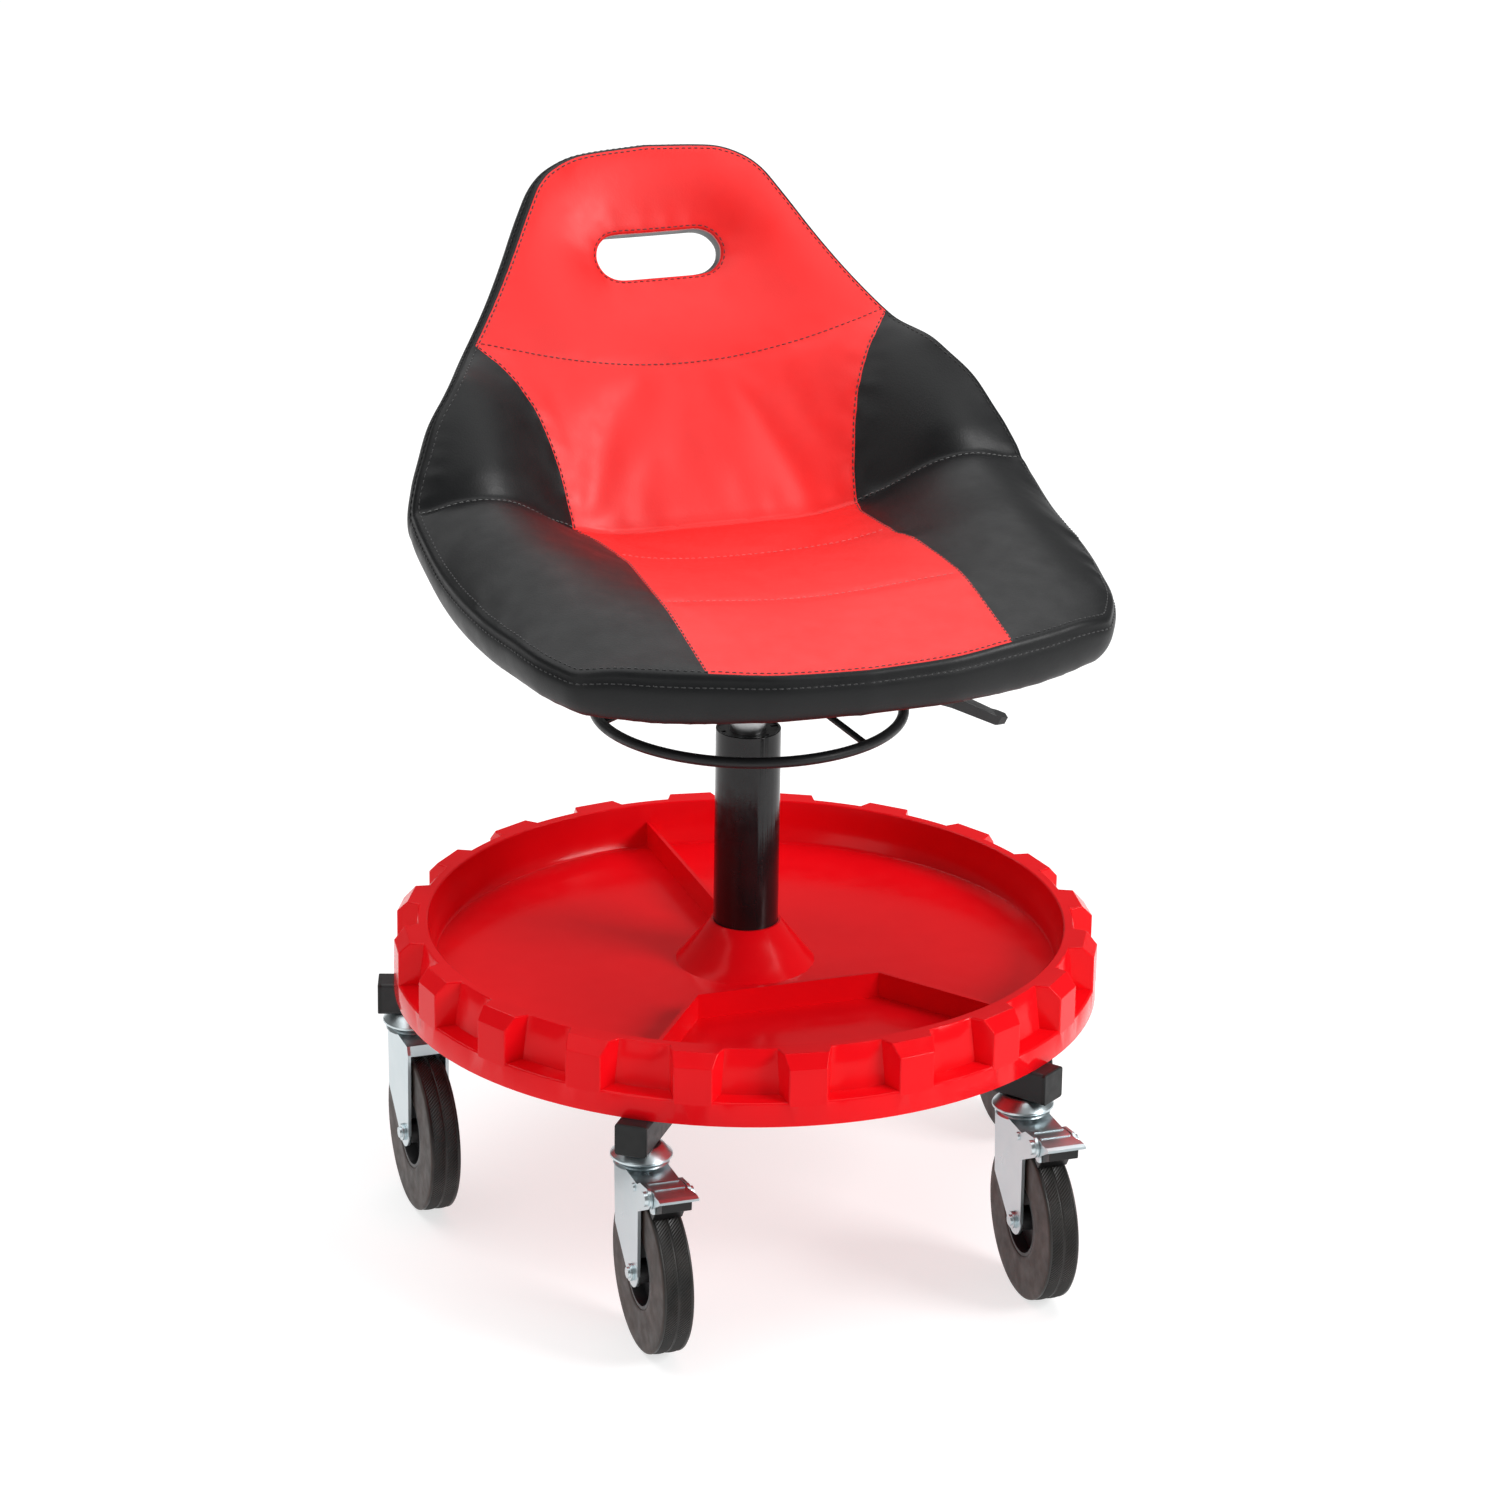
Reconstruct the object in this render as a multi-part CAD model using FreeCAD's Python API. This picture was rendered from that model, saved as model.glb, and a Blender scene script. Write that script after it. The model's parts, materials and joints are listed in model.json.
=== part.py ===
"""Rolling mechanic's seat: a padded bucket seat on a gas lift, over a round tool tray and five casters.

Millimetres. +Z is up, the floor is Z = 0, and the origin is on the floor under the lift column's axis.
The seat faces -Y and the casters are drawn trailing towards -Y.
"""
import FreeCAD, Part
import math
import os

V = FreeCAD.Vector
UP = V(0, 0, 1)
X_AXIS = V(1, 0, 0)

# ---- driving dimensions -------------------------------------------------------------------------
WHEEL_RADIUS = 62.5          # 125 mm (5 in) casters
WHEEL_WIDTH = 24.0
TYRE_BORE = 29.0
CASTER_TRAIL = 30.0          # swivel axis to wheel axle
CASTER_CIRCLE = 257.2        # radius of the five swivel axes
FORK_HALF_WIDTH = 16.4
FORK_PLATE = 2.5
CROWN_TOP = 138.5            # top of the fork's crown plate
LEG_SIZE = 25.0              # square leg tube
LEG_WALL = 1.5
LEG_BOTTOM = 152.0
LEG_END = 284.0
TRAY_BOTTOM = 177.0
TRAY_FLOOR = 197.0
TRAY_RIM = 231.7
TRAY_RADIUS = 271.5
TRAY_WALL = 3.0
LUG_COUNT = 20
LUG_ROOT = 252.0             # radius where the rim blocks start
CONE_TOP = 230.0
CONE_FOOT_RADIUS = 53.6
CONE_TOP_RADIUS = 27.0
DIVIDER_TOP = 217.0
DIVIDER_CORNER = 124.5       # radius where the dividers turn into the front wall
DIVIDER_SPREAD = 36.0        # degrees from straight ahead to each front divider
DIVIDER_WALL = 3.0
HUB_RADIUS = 31.0
HUB_BOTTOM = 145.0
HUB_TOP = 200.0
COLUMN_RADIUS = 25.0
COLUMN_BORE = 23.0
COLUMN_BOTTOM = 148.0
COLUMN_TOP = 388.0
CYLINDER_RADIUS = 14.0
CYLINDER_BORE = 12.5
CYLINDER_BOTTOM = 225.0
CYLINDER_TOP = 455.0
ROD_RADIUS = 5.0
ROD_BOTTOM = 141.0
ROD_TOP = 325.0
BUTTON_RADIUS = 4.0          # the gas spring's valve button
BUTTON_TOP = 462.5
RING_RADIUS = 118.0          # release ring, centre line
RING_ROD = 4.25
RING_HEIGHT = 404.0
BRACKET_BOTTOM = 443.0
SEAT_BOTTOM = 488.0
LEVER_HEIGHT = 467.0
LEVER_AZIMUTH = -8.4         # degrees from +X
LEVER_SLOPE = 27.0           # degrees below level
LEVER_PIVOT = 32.0           # pivot's distance from the column axis
BOLT_X = 68.0                # the bracket's four bolts
BOLT_Y = 52.0
BOLT_RADIUS = 4.0
PIN_RADIUS = 3.0             # the lever's and the brake pedals' pivot pins
PEDAL_PIVOT = (62.6, 136.8)  # ahead of the swivel axis, above the floor
PEDAL_TRAVEL = 16.0          # degrees
BACK_RECLINE = 55.0          # tilt of the back's face normal from +Z, degrees
SHELL_THICKNESS = 10.0
COVER_THICKNESS = 3.0
LAYER_GAP = 0.5
EDGE_BAND = 36.0             # height of the boxed edge all round the seat
BACK_THICKNESS = 48.0
CREASE = (87.0, 524.0)       # Y, Z where the pan meets the back
HAND_HOLE = (102.0, 38.0)    # grip slot in the back
HAND_HOLE_CENTRE = 224.0     # up the back's face from the crease

FIT = 0.05                   # running clearance on a radius
AXLE_RADIUS = 4.0
BEARING_CIRCLE = 13.5        # radius of each swivel's ring of balls
SKIRT_PLATE = 1.8            # sheet of the pedals' side skirts
LEG_ANGLES = {"front_left": -126.0, "front_right": -54.0, "right": 18.0, "rear": 90.0, "left": 162.0}
BRAKED = ("front_left", "front_right")
LEG_TOP = LEG_BOTTOM + LEG_SIZE
SCREW_CIRCLE = 180.0         # tray screws, one through each leg
SCREW_RADIUS = 2.2
STEM_RADIUS = 6.0
BALL_RADIUS = 2.5

made = {}


# ---- helpers ------------------------------------------------------------------------------------
def cyl(radius, low, high, x=0.0):
    return Part.makeCylinder(radius, high - low, V(x, 0, low), UP)


def rod(start, end, radius):
    return Part.makeCylinder(radius, (end - start).Length, start, end - start)


def box(low, high):
    return Part.makeBox(high[0] - low[0], high[1] - low[1], high[2] - low[2], V(*low))


def polygon(points):
    return Part.Face(Part.makePolygon([V(*p) for p in points] + [V(*points[0])]))


def turned(points):
    """A solid of revolution about Z from (radius, height) points."""
    return polygon([(r, 0, z) for r, z in points]).revolve(V(0, 0, 0), UP, 360)


def turned_on_x(points):
    """A solid of revolution about X from (x, radius) points."""
    return polygon([(x, 0, r) for x, r in points]).revolve(V(0, 0, 0), X_AXIS, 360)


def spun(shape, degrees):
    copy = shape.copy()
    copy.rotate(V(0, 0, 0), UP, degrees)
    return copy


def moved(shape, x, y, z=0.0):
    copy = shape.copy()
    copy.translate(V(x, y, z))
    return copy


def fillet(shape, radius, wanted):
    """Round the edges for which wanted(edge) is true."""
    return shape.makeFillet(radius, [e for e in shape.Edges if wanted(e)])


def is_along(edge, axis):
    if not isinstance(edge.Curve, Part.Line):
        return False
    return edge.tangentAt(edge.FirstParameter).cross(axis).Length < 1e-6


def hexagon(across_flats, low, high, x=0.0):
    corner = across_flats / 2 / math.cos(math.radians(30))
    points = []
    for k in range(6):
        turn = math.radians(60 * k)
        points.append((x + corner * math.cos(turn), corner * math.sin(turn), low))
    return polygon(points).extrude(V(0, 0, high - low))


def each_leg(shape):
    """The shape drawn on the +X leg, copied onto all five legs."""
    return [spun(shape, angle) for angle in LEG_ANGLES.values()]


def group(shapes):
    return Part.makeCompound(shapes)


def one(shape):
    """The single solid in a boolean's result, with coplanar faces merged."""
    shape = shape.removeSplitter()
    if len(shape.Solids) != 1:
        raise ValueError("expected one solid, got %d" % len(shape.Solids))
    return shape.Solids[0]


# ---- base frame ---------------------------------------------------------------------------------
def square_bar(size, start, end, middle, corner):
    half = size / 2
    bar = box((start, -half, middle - half), (end, half, middle + half))
    return fillet(bar, corner, lambda e: is_along(e, X_AXIS))


def make_base():
    middle = LEG_BOTTOM + LEG_SIZE / 2
    cap_flange = 3.0
    tube_end = LEG_END - cap_flange
    bore = LEG_SIZE - 2 * LEG_WALL
    leg = square_bar(LEG_SIZE, 0, tube_end, middle, 2.5)
    hollow = square_bar(bore, HUB_RADIUS, tube_end, middle, 1.2)
    stem_hole = cyl(STEM_RADIUS + FIT, LEG_BOTTOM - 1, LEG_TOP + 1, CASTER_CIRCLE)
    screw_hole = cyl(SCREW_RADIUS + FIT, LEG_BOTTOM - 1, LEG_TOP + 1, SCREW_CIRCLE)
    hub = cyl(HUB_RADIUS, HUB_BOTTOM, HUB_TOP)
    frame = hub.fuse(each_leg(leg))
    frame = frame.cut(each_leg(hollow.fuse([stem_hole, screw_hole])))
    made["base_frame"] = one(frame.cut(cyl(COLUMN_RADIUS + FIT, HUB_BOTTOM - 1, HUB_TOP + 1)))

    flange = square_bar(LEG_SIZE, tube_end, LEG_END, middle, 2.5)
    flange = fillet(flange, 1.0, lambda e: e.BoundBox.XMin > LEG_END - 0.01)
    plug_length = 11.0
    plug = square_bar(bore - 2 * FIT, tube_end - plug_length, tube_end, middle, 1.2)
    made["leg_end_caps"] = group(each_leg(flange.fuse(plug)))

    head = hexagon(8.0, LEG_BOTTOM - 3.5, LEG_BOTTOM, SCREW_CIRCLE)
    shank = cyl(SCREW_RADIUS, LEG_BOTTOM, TRAY_BOTTOM + 12.0, SCREW_CIRCLE)
    made["tray_screws"] = group(each_leg(head.fuse(shank)))


# ---- tool tray ----------------------------------------------------------------------------------
def tray_lug(inset):
    """One rim block on the +X side; inset shrinks it to make its hollow."""
    outer = TRAY_RADIUS - inset
    top = TRAY_RIM - inset
    root = LUG_ROOT
    chamfer = (9.0, 9.5)
    foot = TRAY_FLOOR - 4.0 if inset == 0 else TRAY_BOTTOM - 5.0
    side = [(root, top), (outer - chamfer[0], top), (outer, top - chamfer[1]), (outer, foot),
            (root, foot)]
    half_root = 20.5 - inset
    half_face = 14.0 - inset
    block = polygon([(x, -half_root, z) for x, z in side]).extrude(V(0, 2 * half_root, 0))
    plan = [(root, -half_root), (root, half_root), (outer + 1, half_face), (outer + 1, -half_face)]
    trapezium = polygon([(x, y, foot - 1) for x, y in plan]).extrude(V(0, 0, top - foot + 2))
    block = block.common(trapezium)
    if inset > 0:
        return block
    return fillet(block, 1.2, lambda e: e.BoundBox.XMax > root + 2 and e.BoundBox.ZMax > foot + 1)


def make_tray():
    cone_run = (CONE_FOOT_RADIUS - CONE_TOP_RADIUS) / (CONE_TOP - TRAY_FLOOR)
    bore = COLUMN_RADIUS + 0.3
    under = TRAY_FLOOR - TRAY_WALL
    inner_top = CONE_TOP_RADIUS - TRAY_WALL * math.hypot(1, cone_run)
    skirt_inner = TRAY_RADIUS - TRAY_WALL
    bead_hollow = TRAY_RIM - 5.7
    shell = turned([
        (bore, CONE_TOP), (CONE_TOP_RADIUS, CONE_TOP), (CONE_FOOT_RADIUS, TRAY_FLOOR),
        (240.0, TRAY_FLOOR), (241.8, TRAY_FLOOR + 1.8), (245.4, TRAY_RIM - 0.8), (246.4, TRAY_RIM),
        (252.4, TRAY_RIM), (253.3, TRAY_RIM - 0.9), (257.4, TRAY_FLOOR), (270.3, TRAY_FLOOR - 1.0),
        (TRAY_RADIUS, TRAY_FLOOR - 2.2), (TRAY_RADIUS, TRAY_BOTTOM), (skirt_inner, TRAY_BOTTOM),
        (skirt_inner, under - 1.5), (255.2, under), (250.8, bead_hollow), (248.8, bead_hollow),
        (244.8, under), (inner_top + cone_run * (CONE_TOP - under), under),
        (bore, CONE_TOP - (bore - inner_top) / cone_run)])
    lug = tray_lug(0)
    hollow = tray_lug(TRAY_WALL)
    spacing = 360.0 / LUG_COUNT
    turns = [spacing / 2 + spacing * k for k in range(LUG_COUNT)]

    half = DIVIDER_WALL / 2
    foot = TRAY_FLOOR - 1.0
    reach = 243.5
    walls = [spun(box((40.0, -half, foot), (reach, half, DIVIDER_TOP)), 90)]
    for side in (-1, 1):
        wall = box((DIVIDER_CORNER, -half, foot), (reach, half, DIVIDER_TOP))
        walls.append(spun(wall, -90 + side * DIVIDER_SPREAD))
    chord_x = DIVIDER_CORNER * math.sin(math.radians(DIVIDER_SPREAD)) + half
    chord_y = -DIVIDER_CORNER * math.cos(math.radians(DIVIDER_SPREAD))
    walls.append(box((-chord_x, chord_y - half, foot), (chord_x, chord_y + half, DIVIDER_TOP)))
    void_foot = CONE_FOOT_RADIUS - 3.6
    cone_void = turned([(0, TRAY_BOTTOM), (void_foot, TRAY_BOTTOM), (void_foot, under),
                        (bore, CONE_TOP - 4), (bore, CONE_TOP + 10), (0, CONE_TOP + 10)])
    walls = [wall.cut(cone_void) for wall in walls]

    boss_radius = 7.0
    boss = cyl(boss_radius, TRAY_BOTTOM, TRAY_FLOOR - 1, SCREW_CIRCLE)
    pilot = cyl(SCREW_RADIUS + FIT, TRAY_BOTTOM - 1, TRAY_BOTTOM + 13, SCREW_CIRCLE)
    tray = shell.fuse([spun(lug, t) for t in turns] + walls + each_leg(boss))
    tray = tray.cut([spun(hollow, t) for t in turns])
    made["tray"] = one(tray.cut(each_leg(pilot)))


# ---- lift column --------------------------------------------------------------------------------
def make_column_tube():
    plate_top = COLUMN_BOTTOM + 3.0
    tube = cyl(COLUMN_RADIUS, COLUMN_BOTTOM, COLUMN_TOP)
    tube = fillet(tube, 0.8, lambda e: e.BoundBox.ZMin > COLUMN_TOP - 0.01)
    rod_hole = cyl(ROD_RADIUS + FIT, COLUMN_BOTTOM - 1, plate_top + 1)
    made["column_tube"] = one(tube.cut([cyl(COLUMN_BORE, plate_top, COLUMN_TOP + 1), rod_hole]))

    bush_bottom = 330.0
    bush_end = COLUMN_TOP - 1.5
    notch_depth = 3.0
    bush = cyl(COLUMN_BORE - 0.02, bush_bottom, bush_end)
    bush = bush.cut(cyl(CYLINDER_RADIUS + FIT, bush_bottom - 1, COLUMN_TOP + 1))
    notch = box((18.0, -1.5, bush_end - notch_depth), (COLUMN_BORE + 1, 1.5, COLUMN_TOP))
    made["column_bush"] = one(bush.cut([spun(notch, 60 * k) for k in range(6)]))

    bearing_top = plate_top + 5.0
    bearing = cyl(12.0, plate_top, bearing_top)
    made["thrust_bearing"] = bearing.cut(cyl(ROD_RADIUS + FIT, plate_top - 1, bearing_top + 1))
    bumper = cyl(11.5, bearing_top + 0.4, 170.0)
    made["rod_bumper"] = bumper.cut(cyl(ROD_RADIUS + 0.02, bearing_top - 1, 171.0))


def make_gas_spring():
    groove_low = HUB_BOTTOM
    groove_high = groove_low + 1.5
    core = 3.6
    groove = cyl(ROD_RADIUS + 1, groove_low, groove_high).cut(cyl(core, ROD_BOTTOM, groove_high + 1))
    made["piston_rod"] = one(cyl(ROD_RADIUS, ROD_BOTTOM, ROD_TOP).cut(groove))
    clip = cyl(8.5, groove_low + 0.1, groove_high - 0.1)
    clip = clip.cut(cyl(core + 0.1, ROD_BOTTOM, groove_high + 1))
    made["rod_clip"] = clip.cut(box((0, -3, ROD_BOTTOM), (10, 3, groove_high + 1)))
    piston_low = ROD_TOP - 12.0
    piston = cyl(CYLINDER_BORE - 0.1, piston_low, piston_low + 10.0)
    made["gas_piston"] = piston.cut(cyl(ROD_RADIUS + 0.02, piston_low - 1, ROD_TOP + 1))

    body = cyl(CYLINDER_RADIUS, CYLINDER_BOTTOM, CYLINDER_TOP)
    body = fillet(body, 1.5, lambda e: e.BoundBox.ZMax < CYLINDER_BOTTOM + 1)
    chamber = cyl(CYLINDER_BORE, CYLINDER_BOTTOM + 15, CYLINDER_TOP - 20)
    rod_hole = cyl(ROD_RADIUS + FIT, CYLINDER_BOTTOM - 1, CYLINDER_BOTTOM + 20)
    button_hole = cyl(BUTTON_RADIUS + FIT, CYLINDER_TOP - 15, CYLINDER_TOP + 1)
    made["gas_cylinder"] = one(body.cut([chamber, rod_hole, button_hole]))
    button = cyl(BUTTON_RADIUS, CYLINDER_TOP - 5, BUTTON_TOP)
    made["release_button"] = fillet(button, 0.8, lambda e: e.BoundBox.ZMin > BUTTON_TOP - 0.5)


# ---- release ring -------------------------------------------------------------------------------
def make_ring():
    collar_low = 436.2
    collar_high = 441.4
    spoke_radius = 2.6
    ring = Part.makeTorus(RING_RADIUS, RING_ROD, V(0, 0, RING_HEIGHT), UP)
    collar = cyl(24.0, collar_low, collar_high)
    spoke = rod(V(RING_RADIUS, 0, RING_HEIGHT), V(20.0, 0, collar_low + spoke_radius), spoke_radius)
    spokes = [spun(spoke, angle) for angle in (-60, 60, 180)]
    bore = cyl(CYLINDER_RADIUS + 0.6, collar_low - 20, collar_high + 20)
    made["release_ring"] = one(ring.fuse([collar] + spokes).cut(bore))
    clip_top = collar_low - 1.2
    clip_low = clip_top - 1.5
    clip = cyl(17.0, clip_low, clip_top)
    clip = clip.cut(cyl(CYLINDER_RADIUS + 0.01, clip_low - 1, clip_top + 1))
    made["ring_clip"] = clip.cut(box((0, -4, clip_low - 1), (20, 4, clip_top + 1)))


# ---- seat bracket and lever ---------------------------------------------------------------------
def on_lever(shape):
    """A shape drawn along +X, turned to the lever's azimuth."""
    return spun(shape, LEVER_AZIMUTH)


def at_bolts(shape):
    return [moved(shape, x, y) for x in (-BOLT_X, BOLT_X) for y in (-BOLT_Y, BOLT_Y)]


def make_bracket():
    plate_low = SEAT_BOTTOM - 3.0
    plate = box((-88, -70, plate_low), (88, 70, SEAT_BOTTOM))
    plate = fillet(plate, 14.0, lambda e: is_along(e, UP))
    half_gap = 24.0
    sheet = 2.5
    rear = -38.0
    outer = half_gap + sheet
    flange = plate_low + 1
    floor = box((rear, -outer, BRACKET_BOTTOM), (34, outer, BRACKET_BOTTOM + sheet))
    end_wall = box((rear, -half_gap, BRACKET_BOTTOM), (rear + sheet, half_gap, flange))
    pieces = [on_lever(floor), on_lever(end_wall), cyl(18.0, BRACKET_BOTTOM, CYLINDER_TOP + 3)]
    outline = [(rear, BRACKET_BOTTOM), (38, BRACKET_BOTTOM), (82, 462), (82, flange), (rear, flange)]
    for side in (-outer, half_gap):
        cheek = polygon([(x, side, z) for x, z in outline]).extrude(V(0, sheet, 0))
        pieces.append(on_lever(cheek))
    pin_end = outer + 2.0
    pivot = V(LEVER_PIVOT, 0, LEVER_HEIGHT)
    pin_hole = on_lever(rod(pivot - V(0, pin_end, 0), pivot + V(0, pin_end, 0), PIN_RADIUS + FIT))
    socket = cyl(CYLINDER_RADIUS + 0.02, BRACKET_BOTTOM - 1, CYLINDER_TOP + 4)
    bolt_hole = cyl(BOLT_RADIUS + 0.2, plate_low - 1, SEAT_BOTTOM + 1)
    made["seat_bracket"] = one(plate.fuse(pieces).cut([socket, pin_hole] + at_bolts(bolt_hole)))

    pin = rod(pivot - V(0, pin_end, 0), pivot + V(0, pin_end, 0), PIN_RADIUS)
    for side in (-1, 1):
        head_from = V(0, side * (outer + 0.1), 0)
        head_to = V(0, side * pin_end, 0)
        pin = pin.fuse(rod(pivot + head_from, pivot + head_to, 5.0))
    made["lever_pin"] = on_lever(one(pin))

    head_height = 5.5
    nut_low = SEAT_BOTTOM + 3.7
    nut_top = SEAT_BOTTOM + 12.4
    head = hexagon(13.0, plate_low - head_height, plate_low)
    bolt = head.fuse(cyl(BOLT_RADIUS, plate_low, nut_top - 0.1))
    made["bracket_bolts"] = group(at_bolts(bolt))
    nut = cyl(5.5, nut_low, nut_top).fuse(cyl(9.5, nut_top - 1.3, nut_top))
    nut = nut.cut(cyl(BOLT_RADIUS + 0.02, nut_low - 1, nut_top + 1))
    made["tee_nuts"] = group(at_bolts(one(nut)))


def make_lever():
    pivot = V(LEVER_PIVOT, 0, LEVER_HEIGHT)
    slope = math.radians(LEVER_SLOPE)
    down = V(math.cos(slope), 0, -math.sin(slope))
    bar_radius = 4.0
    arm = rod(V(-5.0, 0, LEVER_HEIGHT), pivot, bar_radius)
    boss = rod(pivot - V(0, 8, 0), pivot + V(0, 8, 0), 7.0)
    reach = 112.0
    shaft = rod(pivot, pivot + down * reach, bar_radius)
    pin_hole = rod(pivot - V(0, 10, 0), pivot + V(0, 10, 0), PIN_RADIUS + FIT)
    made["lever_rod"] = on_lever(one(arm.fuse([boss, shaft]).cut(pin_hole)))

    # the paddle is drawn flat on the X axis, then tipped down about the pivot's cross axis
    start = 92.0
    half_plan = [(0, 9), (8, 15), (36, 14), (50, 9.5), (90, 8.5), (96, 5)]
    plan = half_plan + [(x, -y) for x, y in reversed(half_plan)]
    profile = [(-1, -6), (-1, 6), (34, 6), (52, 4), (86, 3.5), (97, 5.5), (97, 0), (88, -3.5),
               (46, -5), (30, -6)]
    paddle = polygon([(start + x, y, -6.0) for x, y in plan]).extrude(V(0, 0, 12.0))
    paddle = paddle.common(polygon([(start + x, -20, z) for x, z in profile]).extrude(V(0, 40, 0)))
    paddle = one(paddle.cut(rod(V(start - 5, 0, 0), V(reach, 0, 0), bar_radius + 0.02)))
    paddle.rotate(V(0, 0, 0), V(0, 1, 0), LEVER_SLOPE)
    paddle.translate(pivot)
    made["lever_paddle"] = on_lever(paddle)


# ---- bucket seat --------------------------------------------------------------------------------
# Sections across the pan, from the front edge to the crease. Each one is: the centre line's Y and Z,
# the tilt of its normal from +Z, then the half-width and height above the centre line of the panel's
# edge, of the bolster's crest and of the seat's outer edge. The underside of the pan is flat.
PAN_SECTIONS = [
    (-275.0, 526.0, 0.0, (117.0, 3.0), (165.0, 2.0), (197.0, -3.0)),
    (-201.0, 535.0, 0.0, (116.0, 4.0), (172.0, 3.0), (211.0, -4.0)),
    (-137.0, 540.0, 0.0, (114.0, 8.0), (180.0, 14.0), (230.0, -6.0)),
    (-6.0, 530.0, 0.0, (107.0, 9.0), (188.0, 42.0), (241.0, 12.0)),
    (51.0, 524.5, 13.0, (108.0, 8.0), (190.0, 54.0), (241.0, 31.0)),
    (86.0, 524.0, 26.0, (113.0, 8.0), (190.0, 57.0), (241.0, 43.0)),
]
# On the back, the first two values are the distance up its face from the crease and the normal's tilt.
BACK_SECTIONS = [
    (38.0, 40.0, (118.0, 12.0), (187.0, 54.0), (234.0, 41.0)),
    (85.0, BACK_RECLINE, (129.0, 18.0), (178.0, 46.0), (217.0, 42.0)),
    (118.0, BACK_RECLINE, (140.0, 18.0), (168.0, 33.0), (194.0, 37.0)),
    (151.0, BACK_RECLINE, (135.0, 9.0), (158.0, 12.0), (171.0, 11.0)),
    (224.0, BACK_RECLINE, (80.0, 4.0), (110.0, 6.0), (129.0, 2.0)),
    (268.0, BACK_RECLINE, (55.0, 4.0), (78.0, 4.0), (98.0, 0.0)),
    (304.0, BACK_RECLINE, (20.0, 2.0), (38.0, 2.0), (54.0, -2.0)),
]


def back_point(up_face):
    lean = math.radians(BACK_RECLINE)
    return CREASE[0] + up_face * math.cos(lean), CREASE[1] + up_face * math.sin(lean)


def seat_sections():
    """Each section as (Y, Z, tilt, thickness, panel, crest, edge)."""
    sections = []
    for y, z, tilt, *points in PAN_SECTIONS:
        thickness = (z - SEAT_BOTTOM) / math.cos(math.radians(tilt))
        sections.append([y, z, tilt, thickness] + points)
    for up_face, tilt, *points in BACK_SECTIONS:
        sections.append([*back_point(up_face), tilt, BACK_THICKNESS] + points)
    return sections


def placed(section, points):
    """A closed wire from one side's (half-width, height) points, mirrored and set in its plane."""
    y, z, tilt = section[:3]
    lean = math.radians(tilt)
    loop = points + [(-w, h) for w, h in reversed(points) if w > 0]
    corners = [V(w, y - h * math.sin(lean), z + h * math.cos(lean)) for w, h in loop]
    return Part.makePolygon(corners + [corners[0]])


def under_line(section, lift, inset):
    """Points of the underside raised by lift, from the centre out to inset from the edge."""
    thickness = section[3]
    edge_w, edge_h = section[6]
    flat_w = 0.62 * edge_w
    low = -thickness + lift
    rim_w = edge_w - 4.0
    rim_h = edge_h - EDGE_BAND + lift
    share = (edge_w - inset - flat_w) / (rim_w - flat_w)
    return [(0.0, low), (flat_w, low), (edge_w - inset, low + share * (rim_h - low))]


def layer(lift_low, lift_high, inset):
    wires = []
    for section in seat_sections():
        top = under_line(section, lift_high, inset)
        bottom = under_line(section, lift_low, inset)
        wires.append(placed(section, top + bottom[::-1]))
    return Part.makeLoft(wires, True, True)


def cushion_body():
    lift = SHELL_THICKNESS + COVER_THICKNESS
    wires = []
    for section in seat_sections():
        panel, crest, edge = section[4:7]
        skirt = (edge[0], edge[1] - EDGE_BAND + lift + 4.0)
        bottom = under_line(section, lift, 4.0)
        wires.append(placed(section, [(0.0, 0.0), panel, crest, edge, skirt] + bottom[::-1]))
    return Part.makeLoft(wires, True, True)


def front_trim(inset):
    """What is cut away to give the seat its bowed front edge."""
    low = 400.0
    corner_x = 204.0 + inset
    corner_y = -211.0 + inset
    middle = V(0, -260.0 + inset, low)
    left = V(-corner_x, corner_y, low)
    right = V(corner_x, corner_y, low)
    arc = Part.Arc(left, middle, right)
    ends = [right, V(300, -180, low), V(300, -320, low), V(-300, -320, low), V(-300, -180, low), left]
    outline = Part.Wire([arc.toShape()] + Part.makePolygon(ends).Edges)
    return Part.Face(outline).extrude(V(0, 0, 300))


def hand_hole(margin):
    """The grip slot's cutter, square to the back's face, larger than the slot by margin all round."""
    depth = 160.0
    length = HAND_HOLE[0] + 2 * margin
    height = HAND_HOLE[1] + 2 * margin
    slot = box((-length / 2, -height / 2, -depth / 2), (length / 2, height / 2, depth / 2))
    slot = fillet(slot, height * 0.42, lambda e: is_along(e, UP))
    slot.rotate(V(0, 0, 0), X_AXIS, BACK_RECLINE)
    y, z = back_point(HAND_HOLE_CENTRE)
    slot.translate(V(0, y, z))
    return slot


def make_seat():
    bolt_holes = at_bolts(cyl(BOLT_RADIUS + 0.2, SEAT_BOTTOM - 5, SEAT_BOTTOM + 4))
    cover_inset = 5.0
    cover = layer(0.0, COVER_THICKNESS, cover_inset)
    made["rear_cover"] = one(cover.cut([front_trim(cover_inset), hand_hole(0.0)] + bolt_holes))
    barrel = cyl(5.6, SEAT_BOTTOM, SEAT_BOTTOM + 20)
    flange = cyl(9.8, SEAT_BOTTOM + 11, SEAT_BOTTOM + 20)
    shell_low = COVER_THICKNESS + LAYER_GAP
    shell_inset = 16.0
    shell = layer(shell_low, shell_low + SHELL_THICKNESS - 2 * LAYER_GAP, shell_inset)
    cuts = [front_trim(shell_inset), hand_hole(7.0)] + at_bolts(barrel) + at_bolts(flange)
    made["seat_shell"] = one(shell.cut(cuts))
    made["seat_cushion"] = one(cushion_body().cut([front_trim(0.0), hand_hole(0.0)]))


# ---- casters ------------------------------------------------------------------------------------
def across(radius, ahead, height, reach):
    """A round bar along X through the caster, centred on it."""
    return rod(V(-reach, -ahead, height), V(reach, -ahead, height), radius)


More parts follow.
